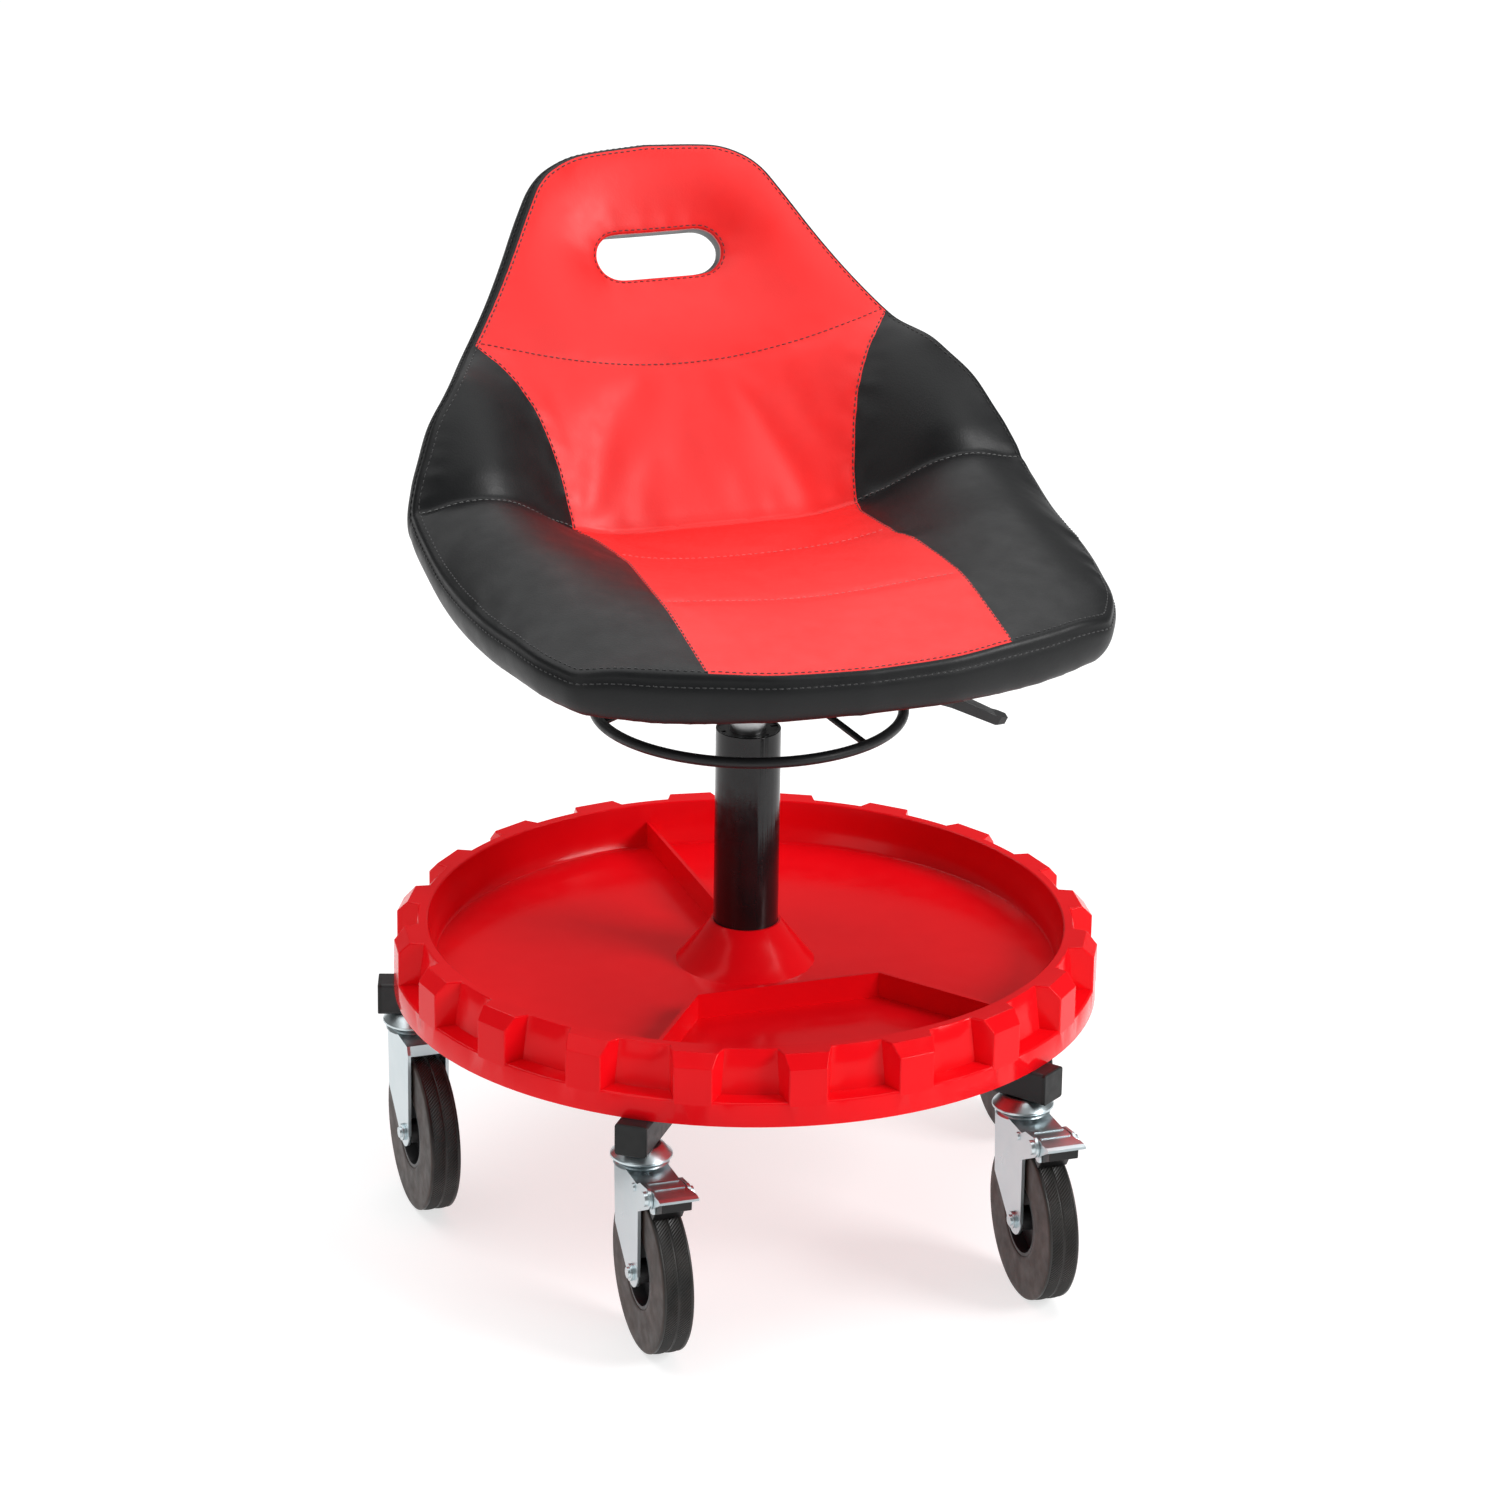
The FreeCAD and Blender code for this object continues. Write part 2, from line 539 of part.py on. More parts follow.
def stub(radius, ahead, height, from_x, to_x):
    """A round bar along X between two places across the caster."""
    return rod(V(from_x, -ahead, height), V(to_x, -ahead, height), radius)


def plate_yz(points, low_x, high_x):
    """A plate from (ahead, height) points, spanning low_x to high_x across the caster."""
    return polygon([(low_x, -a, z) for a, z in points]).extrude(V(high_x - low_x, 0, 0))


def make_fork(braked):
    """A sheet-metal fork; the braked one has ears and a rivet for its pedal."""
    outer = FORK_HALF_WIDTH
    inner = outer - FORK_PLATE
    end_radius = 12.5
    front = CASTER_TRAIL + end_radius
    ear_radius = 8.0
    stop_rivet = (33.0, 133.0)
    plate_end = 46.0 if braked else 40.0
    cheek_points = [(-15, CROWN_TOP), (-12, 85), (front, 35.4), (front, 117.6)]
    if braked:
        cheek_points += [(66.2, 129.7), PEDAL_PIVOT, (60, 144.3), (47, 142.7)]
    else:
        cheek_points += [(front, 132)]
    cheek_points += [(40, CROWN_TOP)]
    race_top = CROWN_TOP + 1.6
    crown = box((-outer, -plate_end, CROWN_TOP - FORK_PLATE), (outer, 22, CROWN_TOP))
    crown = fillet(crown, 8.0, lambda e: is_along(e, UP) and e.BoundBox.YMin > 0)
    race = turned([(8.0, CROWN_TOP - 1), (21.0, CROWN_TOP - 1), (19.0, race_top), (8.0, race_top)])
    pieces = [race]
    for side in (-1, 1):
        cheek = plate_yz(cheek_points, *sorted((side * inner, side * outer)))
        pieces.append(fillet(cheek, end_radius, lambda e: is_along(e, X_AXIS) and e.BoundBox.ZMax < 40))
        if braked:
            pieces.append(stub(ear_radius, *PEDAL_PIVOT, side * inner, side * outer))
            pieces.append(stub(5.5, *PEDAL_PIVOT, side * outer, side * (outer + 2.8)))
            pieces.append(stub(3.2, *stop_rivet, side * inner, side * (outer + 1.4)))
    if braked:
        pieces.append(across(PIN_RADIUS, *PEDAL_PIVOT, outer))
    else:
        pieces.append(box((-inner, -plate_end, 129.5), (inner, FORK_PLATE - plate_end, CROWN_TOP)))
    fork = crown.fuse(pieces)
    axle_hole = across(AXLE_RADIUS + FIT, CASTER_TRAIL, WHEEL_RADIUS, 30)
    return one(fork.cut([cyl(STEM_RADIUS + FIT, CROWN_TOP - 10, race_top + 1), axle_hole]))


def make_axle():
    reach = FORK_HALF_WIDTH
    place = (CASTER_TRAIL, WHEEL_RADIUS)
    between_cheeks = across(8.0, *place, reach)
    head = across(6.5, *place, reach + 2.6).cut(between_cheeks)
    tip = across(4.2, *place, reach + 4.2).cut(between_cheeks)
    return one(across(AXLE_RADIUS, *place, reach + 1).fuse([head, tip]))


def make_tyre():
    half = WHEEL_WIDTH / 2
    r = WHEEL_RADIUS
    side = [(half, TYRE_BORE), (half, r - 4), (half - 1.2, r - 1.2), (half - 3.2, r), (0.8, r)]
    profile = [(-x, h) for x, h in side] + [(0, r - 0.8)] + side[::-1]
    return moved(turned_on_x(profile), 0, -CASTER_TRAIL, WHEEL_RADIUS)


def make_rim():
    rim_r = TYRE_BORE - FIT
    bead = WHEEL_WIDTH / 2 - 0.6
    boss_end = WHEEL_WIDTH / 2 + 1.0
    boss_r = 9.5
    sleeve = turned_on_x([(-bead, 26.0), (-bead, rim_r), (bead, rim_r), (bead, 26.0)])
    web = turned_on_x([(-2.0, 9.0), (-2.0, 27.0), (2.0, 27.0), (2.0, 9.0)])
    bore = AXLE_RADIUS + FIT
    boss = turned_on_x([(-boss_end, bore), (-boss_end, boss_r), (boss_end, boss_r), (boss_end, bore)])
    return moved(one(sleeve.fuse([web, boss])), 0, -CASTER_TRAIL, WHEEL_RADIUS)


def make_pedal():
    """The brake's foot plate, which hangs between the fork's ears and flares out ahead of them."""
    skirt = FORK_HALF_WIDTH - FORK_PLATE - 0.3
    flare = 15.1
    rear, rear_top = 49.0, 142.7
    front, front_top = 85.5, 145.6
    lip = 90.2
    profile = [(rear, rear_top - 1.6), (rear, rear_top), (front, front_top), (lip - 0.4, 145.0),
               (lip, 143.2), (88.8, 143.0), (front - 0.5, front_top - 1.7)]
    plan = [(skirt, -rear + 1), (skirt, -72.5), (flare, -77), (flare, -lip - 1)]
    plan += [(-x, y) for x, y in reversed(plan)]
    tread = plate_yz(profile, -flare, flare)
    tread = tread.common(polygon([(x, y, 130.0) for x, y in plan]).extrude(V(0, 0, 20)))
    skirt_points = [(52, 142), (52, 134), (60, 128), (65, 125.5), (69.5, 126.5), (71, 132.5),
                    (87, 142), (87, 144)]
    pieces = []
    for side in (-1, 1):
        pieces.append(plate_yz(skirt_points, *sorted((side * skirt, side * (skirt - SKIRT_PLATE)))))
    for ahead in (52.0, 66.0):
        top = rear_top + (front_top - rear_top) * (ahead - rear) / (front - rear)
        pieces.append(box((2 - skirt, -ahead - 1.2, top - 0.6), (skirt - 2, -ahead + 1.2, top + 0.8)))
    return one(tread.fuse(pieces).cut(across(PIN_RADIUS + FIT, *PEDAL_PIVOT, 30)))


def pressed(shape, degrees):
    """The shape turned about the brake's rivet, as when its pedal is pressed down."""
    copy = shape.copy()
    copy.rotate(V(0, -PEDAL_PIVOT[0], PEDAL_PIVOT[1]), X_AXIS, degrees)
    return copy


def make_shoe():
    """The plastic brake block under the pedal, hollowed to the tyre's curve at the end of its travel."""
    raised_gap = 2.2
    pressed_gap = 0.5
    half = FORK_HALF_WIDTH - FORK_PLATE - 0.3 - SKIRT_PLATE - 0.2
    profile = [(57, 141.5), (55, 131), (57, 115), (62, 118), (67, 125), (84, 133.5), (84.6, 143.6)]
    block = plate_yz(profile, -half, half)
    wheel_at = (CASTER_TRAIL, WHEEL_RADIUS)
    rivet = across(PIN_RADIUS + FIT, *PEDAL_PIVOT, 30)
    block = block.cut([rivet, across(WHEEL_RADIUS + raised_gap, *wheel_at, 30)])
    block = pressed(block, PEDAL_TRAVEL).cut(across(WHEEL_RADIUS + pressed_gap, *wheel_at, 30))
    return one(pressed(block, -PEDAL_TRAVEL))


def make_swivel():
    """The stem, cup, nut and balls of one swivel, on the Z axis."""
    stem_low = CROWN_TOP - 7.0
    head = cyl(10.0, stem_low, CROWN_TOP - FORK_PLATE - 0.3)
    stem = cyl(STEM_RADIUS, stem_low, LEG_TOP + 9.0).fuse(head)
    bore = STEM_RADIUS + 0.02
    cup_low = 142.7
    skin_low = 145.2
    cup = turned([(bore, LEG_BOTTOM), (14.5, LEG_BOTTOM), (17.5, 150.6), (20.0, 147.6), (23.4, 144.6),
                  (23.4, cup_low), (21.9, cup_low), (21.9, skin_low), (bore, skin_low)])
    nut = hexagon(17.0, LEG_TOP, LEG_TOP + 8.0).cut(cyl(bore, LEG_TOP - 1, LEG_TOP + 10))
    ball_height = (CROWN_TOP + 1.6 + skin_low) / 2
    ball = Part.makeSphere(BALL_RADIUS, V(BEARING_CIRCLE, 0, ball_height))
    balls = [spun(ball, 30 * k) for k in range(12)]
    return {"caster_stems": [stem], "caster_cups": [cup], "stem_nuts": [nut], "swivel_balls": balls}


def make_casters():
    plain = {"fork": make_fork(False), "axle": make_axle(), "tyre": make_tyre(), "rim": make_rim()}
    braked = {**plain, "fork": make_fork(True), "brake_pedal": make_pedal(), "brake_shoe": make_shoe()}
    swivel = make_swivel()
    groups = {name: [] for name in swivel}
    for caster, angle in LEG_ANGLES.items():
        x = CASTER_CIRCLE * math.cos(math.radians(angle))
        y = CASTER_CIRCLE * math.sin(math.radians(angle))
        parts = braked if caster in BRAKED else plain
        for part, shape in parts.items():
            made[part + "_" + caster] = moved(shape, x, y)
        for name, shapes in swivel.items():
            groups[name] += [moved(shape, x, y) for shape in shapes]
    for name, shapes in groups.items():
        made[name] = group(shapes)


def main():
    make_base()
    make_tray()
    make_column_tube()
    make_gas_spring()
    make_ring()
    make_bracket()
    make_lever()
    make_seat()
    make_casters()
    os.makedirs("parts", exist_ok=True)
    for name, shape in made.items():
        if not shape.isValid():
            raise ValueError(name + " is not valid")
        shape.exportStep("parts/" + name + ".step")
    print(len(made), "nodes")


main()
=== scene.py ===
"""The looks of a rolling mechanic's seat: vinyl bucket cushion, red tool tray, zinc casters.

Metres, in the CAD frame: +Z up, the seat faces -Y, and the origin is on the floor under the lift column.
The seat's own lines are drawn in millimetres in its (x, t) plane: x runs across, and t runs from the front
edge through the crease, where it is 0, and up the back. Their height v is measured square to the surface.
"""
import json
import math

import bmesh
import bpy
import numpy as np
from mathutils import Matrix, Vector
from mathutils import noise as field
from mathutils.bvhtree import BVHTree
from mathutils.geometry import delaunay_2d_cdt


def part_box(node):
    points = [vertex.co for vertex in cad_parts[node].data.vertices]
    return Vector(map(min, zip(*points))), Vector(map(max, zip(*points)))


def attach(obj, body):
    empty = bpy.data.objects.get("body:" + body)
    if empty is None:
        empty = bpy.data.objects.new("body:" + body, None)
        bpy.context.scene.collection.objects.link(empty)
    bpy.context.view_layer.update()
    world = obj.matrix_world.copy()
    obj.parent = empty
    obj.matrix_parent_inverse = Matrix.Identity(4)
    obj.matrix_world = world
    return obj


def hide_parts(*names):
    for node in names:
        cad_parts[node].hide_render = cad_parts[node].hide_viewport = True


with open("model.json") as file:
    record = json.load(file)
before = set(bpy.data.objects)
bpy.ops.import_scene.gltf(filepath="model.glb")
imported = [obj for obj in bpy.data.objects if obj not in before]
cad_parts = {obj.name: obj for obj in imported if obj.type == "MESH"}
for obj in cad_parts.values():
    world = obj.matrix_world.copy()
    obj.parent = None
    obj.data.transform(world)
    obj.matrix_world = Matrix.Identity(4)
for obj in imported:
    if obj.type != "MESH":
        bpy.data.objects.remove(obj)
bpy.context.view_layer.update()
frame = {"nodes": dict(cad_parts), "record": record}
NODES = frame["nodes"]
CASTERS = ("front_left", "front_right", "right", "rear", "left")
MM = 0.001

# ---- the seat's driving lines, in millimetres ---------------------------------------------------
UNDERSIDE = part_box("rear_cover")[0].z / MM
RECLINE = 55.0               # turn of the surface normal from the pan to the back, degrees
TURN_HALF = 75.0             # the turn is spread over this much of t on each side of the crease
BAND = 36.0                  # height of the boxed edge band
BAND_BULGE = 6.5             # how far the band stands out between its two seams
PITCH = 6.5                  # spacing of the cushion mesh's points
HOLE_T = 224.0               # the hand hole's centre
HOLE_LENGTH = 102.0
HOLE_HEIGHT = 38.0
HOLE_CORNER = 18.5
HOLE_RIM = 4.0               # from the hole's edge to the first line of the padding round it
HOLE_DIP = 17.0              # the padding sinks this far at the hole
HOLE_DIP_REACH = 27.0
HOLE_CLIMB = 13.0            # the hole's lining climbs this far on its way to the back
HOLE_FLARE = 0.14            # and widens by this share

# (t, y, z) along the seat's centre line
CENTRE = [(-352, -265, 526), (-300, -213, 533), (-224, -137, 540), (-150, -63, 537), (-93, -6, 530),
          (-40, 47, 525), (-12, 75, 522.5), (0, 86, 523.5), (12, 94.5, 533), (40, 110.5, 556.5),
          (85, 135.8, 593.6), (151, 173.6, 647.7), (224, 215.6, 707.5), (268, 240.8, 743.5),
          (308, 263.5, 776.5)]
# (t, thickness under the centre line)
THICKNESS = [(-352, 38), (-300, 45), (-224, 52.5), (-150, 50), (-93, 42), (-40, 38), (0, 40), (38, 47),
             (308, 47)]
# (t, panel edge x, its v, bolster crest x, its v, seat edge v)
CROSS = [(-352, 117, 1, 165, 1, -2), (-298, 116, 4, 172, 3, -4), (-224, 114, 8, 180, 14, -6),
         (-150, 110, 9, 184, 30, 0), (-93, 107, 9, 188, 42, 12), (-36, 108, 8, 190, 54, 31),
         (0, 113, 8, 190, 57, 43), (38, 118, 12, 187, 54, 41), (85, 129, 18, 178, 46, 42),
         (118, 143, 20, 170, 34, 38), (151, 142, 9, 160, 12, 11), (190, 105, 5, 130, 8, 5),
         (224, 80, 3, 110, 5, 2), (268, 50, 2, 78, 3, 0), (308, 30, 0, 50, 0, -2)]
# half of the seat's outline, from the front centre round the corner, the hip and the shoulder to the top
OUTLINE = [(0, -347), (60, -344), (117, -332), (160, -319), (193, -305), (204, -298), (210, -288),
           (222, -261), (230, -224), (238, -180), (242, -140), (243.5, -93), (244, -40), (243.5, 0),
           (236, 38), (228, 60), (217, 85), (199, 110), (185, 130), (170, 151), (144, 190), (124, 224),
           (100, 268), (91, 283), (78, 295), (53, 304), (0, 308)]
HIP_T = -4.0
BAND_JOINTS = [(243.5, HIP_T), (-243.5, HIP_T), (204, -298), (-204, -298)]
SHOULDER = (168.0, 156.0)
FRONT_SEAM = (117.0, -332.0)
CREASE_X = 114.0
PAN_SEAM = [FRONT_SEAM, (117, -224), (113, -150), (109, -93), (109, -40), (CREASE_X, 0)]
WING_SEAM = [(CREASE_X, 0), (118, 40), (127, 85), (143, 122), SHOULDER]
HIP_SEAM = [(CREASE_X, 0), (150, -6), (200, -9), (243.5, HIP_T)]
EASING = 26                  # rounds of smoothing given to the upper surface
FLANK_SLOPE = 0.55           # slope at the panel's edge, as a share of the way up to the crest
FALL_SLOPE = 1.3             # slope at the seat's edge, as a share of the way down from the crest
LEAST_SHOULDER = 5.0         # the edge stays this far outside the crest
FLAT_SHARE = 0.62            # this share of the underside's half-width is flat across
REAR_HOLE_REACH = 42.0       # the lining's climb and flare fade out over this distance
REAR_TOP = 262.0             # from here up the rear rises to meet the band
REAR_TOP_RUN = 40.0
REAR_WIDTH = 0.978           # the rear is this share of the front's outline across
REAR_LENGTH = 0.985          # and this share along
YOKE_DIP = 28.0              # how far the curved seam across the back hangs below the shoulders
QUILT_ROWS = (-93.0, -224.0)


def through(knots, x):
    """Values of a smooth curve through (x, value, ...) knots, with no overshoot between them."""
    table = np.array(knots, float)
    at, values = table[:, 0], table[:, 1:]
    step = np.diff(at)
    slope = np.diff(values, axis=0) / step[:, None]
    tangent = np.zeros_like(values)
    tangent[0], tangent[-1] = slope[0], slope[-1]
    for i in range(1, len(at) - 1):
        before, after = slope[i - 1], slope[i]
        weight_b = 2 * step[i] + step[i - 1]
        weight_a = step[i] + 2 * step[i - 1]
        level = before * after <= 0
        safe_b = np.where(level, 1.0, before)
        safe_a = np.where(level, 1.0, after)
        mean = (weight_b + weight_a) / (weight_b / safe_b + weight_a / safe_a)
        tangent[i] = np.where(level, 0.0, mean)
    x = np.clip(np.asarray(x, float), at[0], at[-1])
    i = np.clip(np.searchsorted(at, x) - 1, 0, len(step) - 1)
    h = step[i][..., None]
    s = ((x - at[i]) / step[i])[..., None]
    return (values[i] * (1 + 2 * s) * (1 - s) ** 2 + tangent[i] * h * s * (1 - s) ** 2
            + values[i + 1] * s * s * (3 - 2 * s) + tangent[i + 1] * h * s * s * (s - 1))


def resampled(points, spacing):
    """The smooth curve through the points, as points that are spacing apart."""
    points = np.array(points, float)
    run = np.concatenate([[0], np.cumsum(np.hypot(*np.diff(points, axis=0).T))])
    knots = np.column_stack([run, points])
    fine = through(knots, np.linspace(0, run[-1], 60 * len(points)))
    walked = np.concatenate([[0], np.cumsum(np.hypot(*np.diff(fine, axis=0).T))])
    count = max(2, int(round(walked[-1] / spacing)) + 1)
    stops = np.linspace(0, walked[-1], count)
    return np.column_stack([np.interp(stops, walked, fine[:, k]) for k in (0, 1)])


def mirrored(points):
    return [(-x, t) for x, t in points]


def outline_loop(spacing):
    half = resampled(OUTLINE, spacing)
    return np.vstack([half, (half * [-1, 1])[-2:0:-1]])


SIDE = [(t, x) for x, t in OUTLINE if -300 < t < 300]


def turn_at(t):
    s = np.clip((np.asarray(t, float) + TURN_HALF) / (2 * TURN_HALF), 0, 1)
    return np.radians(RECLINE) * s * s * (3 - 2 * s)


def placed(x, t, v):
    """CAD-frame points, in metres, of seat coordinates in millimetres."""
    centre = through(CENTRE, t)
    lean = turn_at(t)
    y = centre[..., 0] - v * np.sin(lean)
    z = centre[..., 1] + v * np.cos(lean)
    return np.stack([np.asarray(x, float), y, z], -1) * MM


def rise(s, low, high, slope_low, slope_high, run):
    """A smooth step from low to high over run, at share s of the way, with these end slopes."""
    return (low * (1 + 2 * s) * (1 - s) ** 2 + slope_low * run * s * (1 - s) ** 2
            + high * s * s * (3 - 2 * s) + slope_high * run * s * s * (s - 1))


def slot_gap(x, t):
    """Distance from the hand hole's edge, below zero inside it."""
    over_x = np.abs(x) - (HOLE_LENGTH / 2 - HOLE_CORNER)
    over_t = np.abs(np.asarray(t, float) - HOLE_T) - (HOLE_HEIGHT / 2 - HOLE_CORNER)
    return np.hypot(np.maximum(over_x, 0), np.maximum(over_t, 0)) - HOLE_CORNER


def top_height(x, t):
    """v of the upper surface: a dished panel, a rounded bolster, then the fall to the edge seam."""
    dip = HOLE_DIP * np.exp(-(np.maximum(slot_gap(x, t), 0) / HOLE_DIP_REACH) ** 2)
    panel_x, panel_v, crest_x, crest_v, edge_v = np.moveaxis(through(CROSS, t), -1, 0)
    side_x = np.maximum(through(SIDE, t)[..., 0], crest_x + LEAST_SHOULDER)
    x = np.abs(x)
    flank = FLANK_SLOPE * (crest_v - panel_v) / (crest_x - panel_x)
    fall = FALL_SLOPE * (edge_v - crest_v) / (side_x - crest_x)
    level = np.zeros_like(panel_v)
    panel = rise(x / panel_x, level, panel_v, level, flank, panel_x)
    bolster = rise((x - panel_x) / (crest_x - panel_x), panel_v, crest_v, flank, level, crest_x - panel_x)
    shoulder = rise((x - crest_x) / (side_x - crest_x), crest_v, edge_v, level, fall, side_x - crest_x)
    return np.where(x < panel_x, panel, np.where(x < crest_x, bolster, shoulder)) - dip


def eased(plan):
    """Heights of the plan's points with the ridges between the surface's patches worn round."""
    v = top_height(*plan.xt.T)
    pairs = np.array(sorted({tuple(sorted((f[k], f[k - 1]))) for f in plan.faces for k in range(len(f))}))
    ends = np.concatenate([pairs, pairs[:, ::-1]])
    share = np.bincount(ends[:, 0], minlength=len(v))
    held = np.zeros(len(v), bool)
    held[plan.outer + plan.hole] = True
    for _round in range(EASING):
        mean = np.bincount(ends[:, 0], v[ends[:, 1]], len(v)) / share
        v = np.where(held, v, 0.5 * (v + mean))
    return v


def top_points(x, t):
    return placed(x, t, top_height(x, t))


def rear_points(x, t):
    """The underside: flat under the pan, and rising to the band's lower edge."""
    near = np.exp(-(np.maximum(slot_gap(x, t), 0) / REAR_HOLE_REACH) ** 2)
    x = x * (1 + HOLE_FLARE * near)
    t = np.asarray(t, float) + HOLE_CLIMB * near
    deep = -through(THICKNESS, t)[..., 0]
    cross = through(CROSS, t)
    side_x = np.maximum(through(SIDE, t)[..., 0], cross[..., 2] + LEAST_SHOULDER)
    s = np.clip((np.abs(x) / side_x - FLAT_SHARE) / (1 - FLAT_SHARE), 0, 1)
    rim = cross[..., 4] - BAND
    v = deep + (rim - deep) * s * s * (3 - 2 * s)
    ends = np.clip((np.asarray(t, float) - REAR_TOP) / REAR_TOP_RUN, 0, 1)
    v = v + (rim - v) * ends * ends
    points = placed(x * REAR_WIDTH, np.asarray(t, float) * REAR_LENGTH, v)
    points[..., 2] = np.maximum(points[..., 2], UNDERSIDE * MM)
    return points


def rounded_slot(length, height, corner, spacing):
    """A closed loop of (x, t) points round the hand hole."""
    loop = []
    centres = [(1, 1), (-1, 1), (-1, -1), (1, -1)]
    for quarter, (sx, st) in enumerate(centres):
        for k in range(5):
            angle = math.radians(90 * quarter + 22.5 * k)
            loop.append((sx * (length / 2 - corner) + corner * math.cos(angle),
                         HOLE_T + st * (height / 2 - corner) + corner * math.sin(angle)))
    loop.append(loop[0])
    loop = np.array(loop)
    run = np.concatenate([[0], np.cumsum(np.hypot(*np.diff(loop, axis=0).T))])
    count = int(round(run[-1] / spacing))
    stops = np.linspace(0, run[-1], count, endpoint=False)
    return np.column_stack([np.interp(stops, run, loop[:, k]) for k in (0, 1)])


def inside(loop, points):
    """True for the points inside a closed loop."""
    x, t = points[:, 0], points[:, 1]
    hit = np.zeros(len(points), bool)
    for (x0, t0), (x1, t1) in zip(loop, np.roll(loop, -1, axis=0)):
        if t0 == t1:
            continue
        crosses = (t0 > t) != (t1 > t)
        hit ^= crosses & (x < (x1 - x0) * (t - t0) / (t1 - t0) + x0)
    return hit


def yoke_seam():
    """The curved seam across the back, from shoulder to shoulder."""
    x_end, t_end = SHOULDER
    return [(x_end * k / 6, t_end - YOKE_DIP * (1 - (k / 6) ** 2)) for k in range(-6, 7)]


def seams():
    """(name, open line of (x, t) points, how far the seam pulls the vinyl in, in millimetres)"""
    lines = [("pan_right", PAN_SEAM, 0.9), ("pan_left", mirrored(PAN_SEAM), 0.9),
             ("wing_right", WING_SEAM, 0.9), ("wing_left", mirrored(WING_SEAM), 0.9),
             ("hip_right", HIP_SEAM, 0.6), ("hip_left", mirrored(HIP_SEAM), 0.6),
             ("crease", [(-CREASE_X, 0), (0, 0), (CREASE_X, 0)], 3.4),
             ("yoke", yoke_seam(), 0.5)]
    for t in QUILT_ROWS:
        half = float(half_width(PAN_SEAM, t))
        lines.append((f"quilt{int(-t)}", [(-half, t), (0, t), (half, t)], 0.7))
    return lines


# spacings as shares of PITCH: along the seams, the hole and its rim, where two lines meet, and round a line
LINE_SHARE = 0.9
HOLE_SHARE = 0.7
RIM_SHARE = 0.75
MEET_SHARE = 0.8
CLEAR_SHARE = 0.62
LATTICE_X = (-250, 250.1)
LATTICE_T = (-350, 310.1)


class Plan:
    """The seat's outline cut into small faces in (x, t), with every seam a run of edges."""

    def __init__(self):
        self.points = []
        self.edges = []
        outer = self.add(outline_loop(PITCH * LINE_SHARE), True)
        hole = self.add(rounded_slot(HOLE_LENGTH, HOLE_HEIGHT, HOLE_CORNER, PITCH * HOLE_SHARE), True)
        rim = rounded_slot(HOLE_LENGTH + 2 * HOLE_RIM, HOLE_HEIGHT + 2 * HOLE_RIM,
                           HOLE_CORNER + HOLE_RIM, PITCH * RIM_SHARE)
        rim = self.add(rim, True)
        lines = {name: self.add(resampled(line, PITCH * LINE_SHARE), False) for name, line, _pull in seams()}
        loop = np.array([self.points[i] for i in outer])
        slot = np.array([self.points[i] for i in hole])
        lattice = self.lattice(np.array(self.points), loop, slot)
        everything = [Vector(p) for p in [*self.points, *lattice]]
        made = delaunay_2d_cdt(everything, self.edges, [], 0, 1e-4)
        corners, faces, sources = made[0], made[2], made[3]
        self.xt = np.array([tuple(c) for c in corners])
        where = {old: new for new, olds in enumerate(sources) for old in olds}
        middle = np.array([self.xt[list(f)].mean(0) for f in faces])
        keep = inside(loop, middle) & ~inside(slot, middle)
        self.faces = [tuple(f) for f, kept in zip(faces, keep) if kept]
        self.outer = [where[i] for i in outer]
        self.hole = [where[i] for i in hole]
        self.rim = [where[i] for i in rim]
        self.lines = {name: [where[i] for i in line] for name, line in lines.items()}

    def add(self, line, closed):
        """Adds a line's points, sharing those that are there already, and its edges."""
        ids = []
        for n, p in enumerate(line):
            found = None
            if not closed and n in (0, len(line) - 1):
                gaps = [math.dist(p, q) for q in self.points]
                nearest = int(np.argmin(gaps))
                if gaps[nearest] < PITCH * MEET_SHARE:
                    found = nearest
            if found is None:
                self.points.append((float(p[0]), float(p[1])))
                found = len(self.points) - 1
            ids.append(found)
        pairs = list(zip(ids, ids[1:]))
        if closed:
            pairs.append((ids[-1], ids[0]))
        self.edges += pairs
        return ids

    def lattice(self, fixed, outer, hole):
        """Evenly spaced points inside the outline and outside the hole, clear of the fixed points."""
        across = np.arange(*LATTICE_X, PITCH)
        along = np.arange(*LATTICE_T, PITCH)
        grid = np.array([(x, t) for t in along for x in across])
        grid = grid[inside(outer, grid) & ~inside(hole, grid)]
        clear = np.ones(len(grid), bool)
        for p in fixed:
            clear &= np.hypot(*(grid - p).T) > PITCH * CLEAR_SHARE
        return grid[clear]


def half_width(line, t):
    """The x at t of a seam given by (x, t) points."""
    return np.interp(t, [p[1] for p in line], [p[0] for p in line])


def is_red(x, t):
    """True where the upper surface is red vinyl."""
    x = np.abs(x)
    on_pan = (t <= 0) & (x < half_width(PAN_SEAM, t))
    on_wing = (t > 0) & (t < SHOULDER[1]) & (x < half_width(WING_SEAM, t))
    return on_pan | on_wing | (t >= SHOULDER[1])


BAND_ROWS = (0.08, 0.19, 0.31, 0.44, 0.58, 0.72, 0.86, 1.0)
SEAM_ROW = 1                 # the band's row that the second line of stitches holds
HOLE_ROWS = (0.12, 0.30, 0.55, 0.80, 1.0)
BULGE_FULLNESS = 0.7         # power of the band's section: lower is fuller
EDGE_PULL = 1.0              # how far the stitches pull the vinyl in, in millimetres
BAND_PULL = 1.3
JOINT_PULL = 0.5
RED, BLACK, UNDER = 0, 1, 2


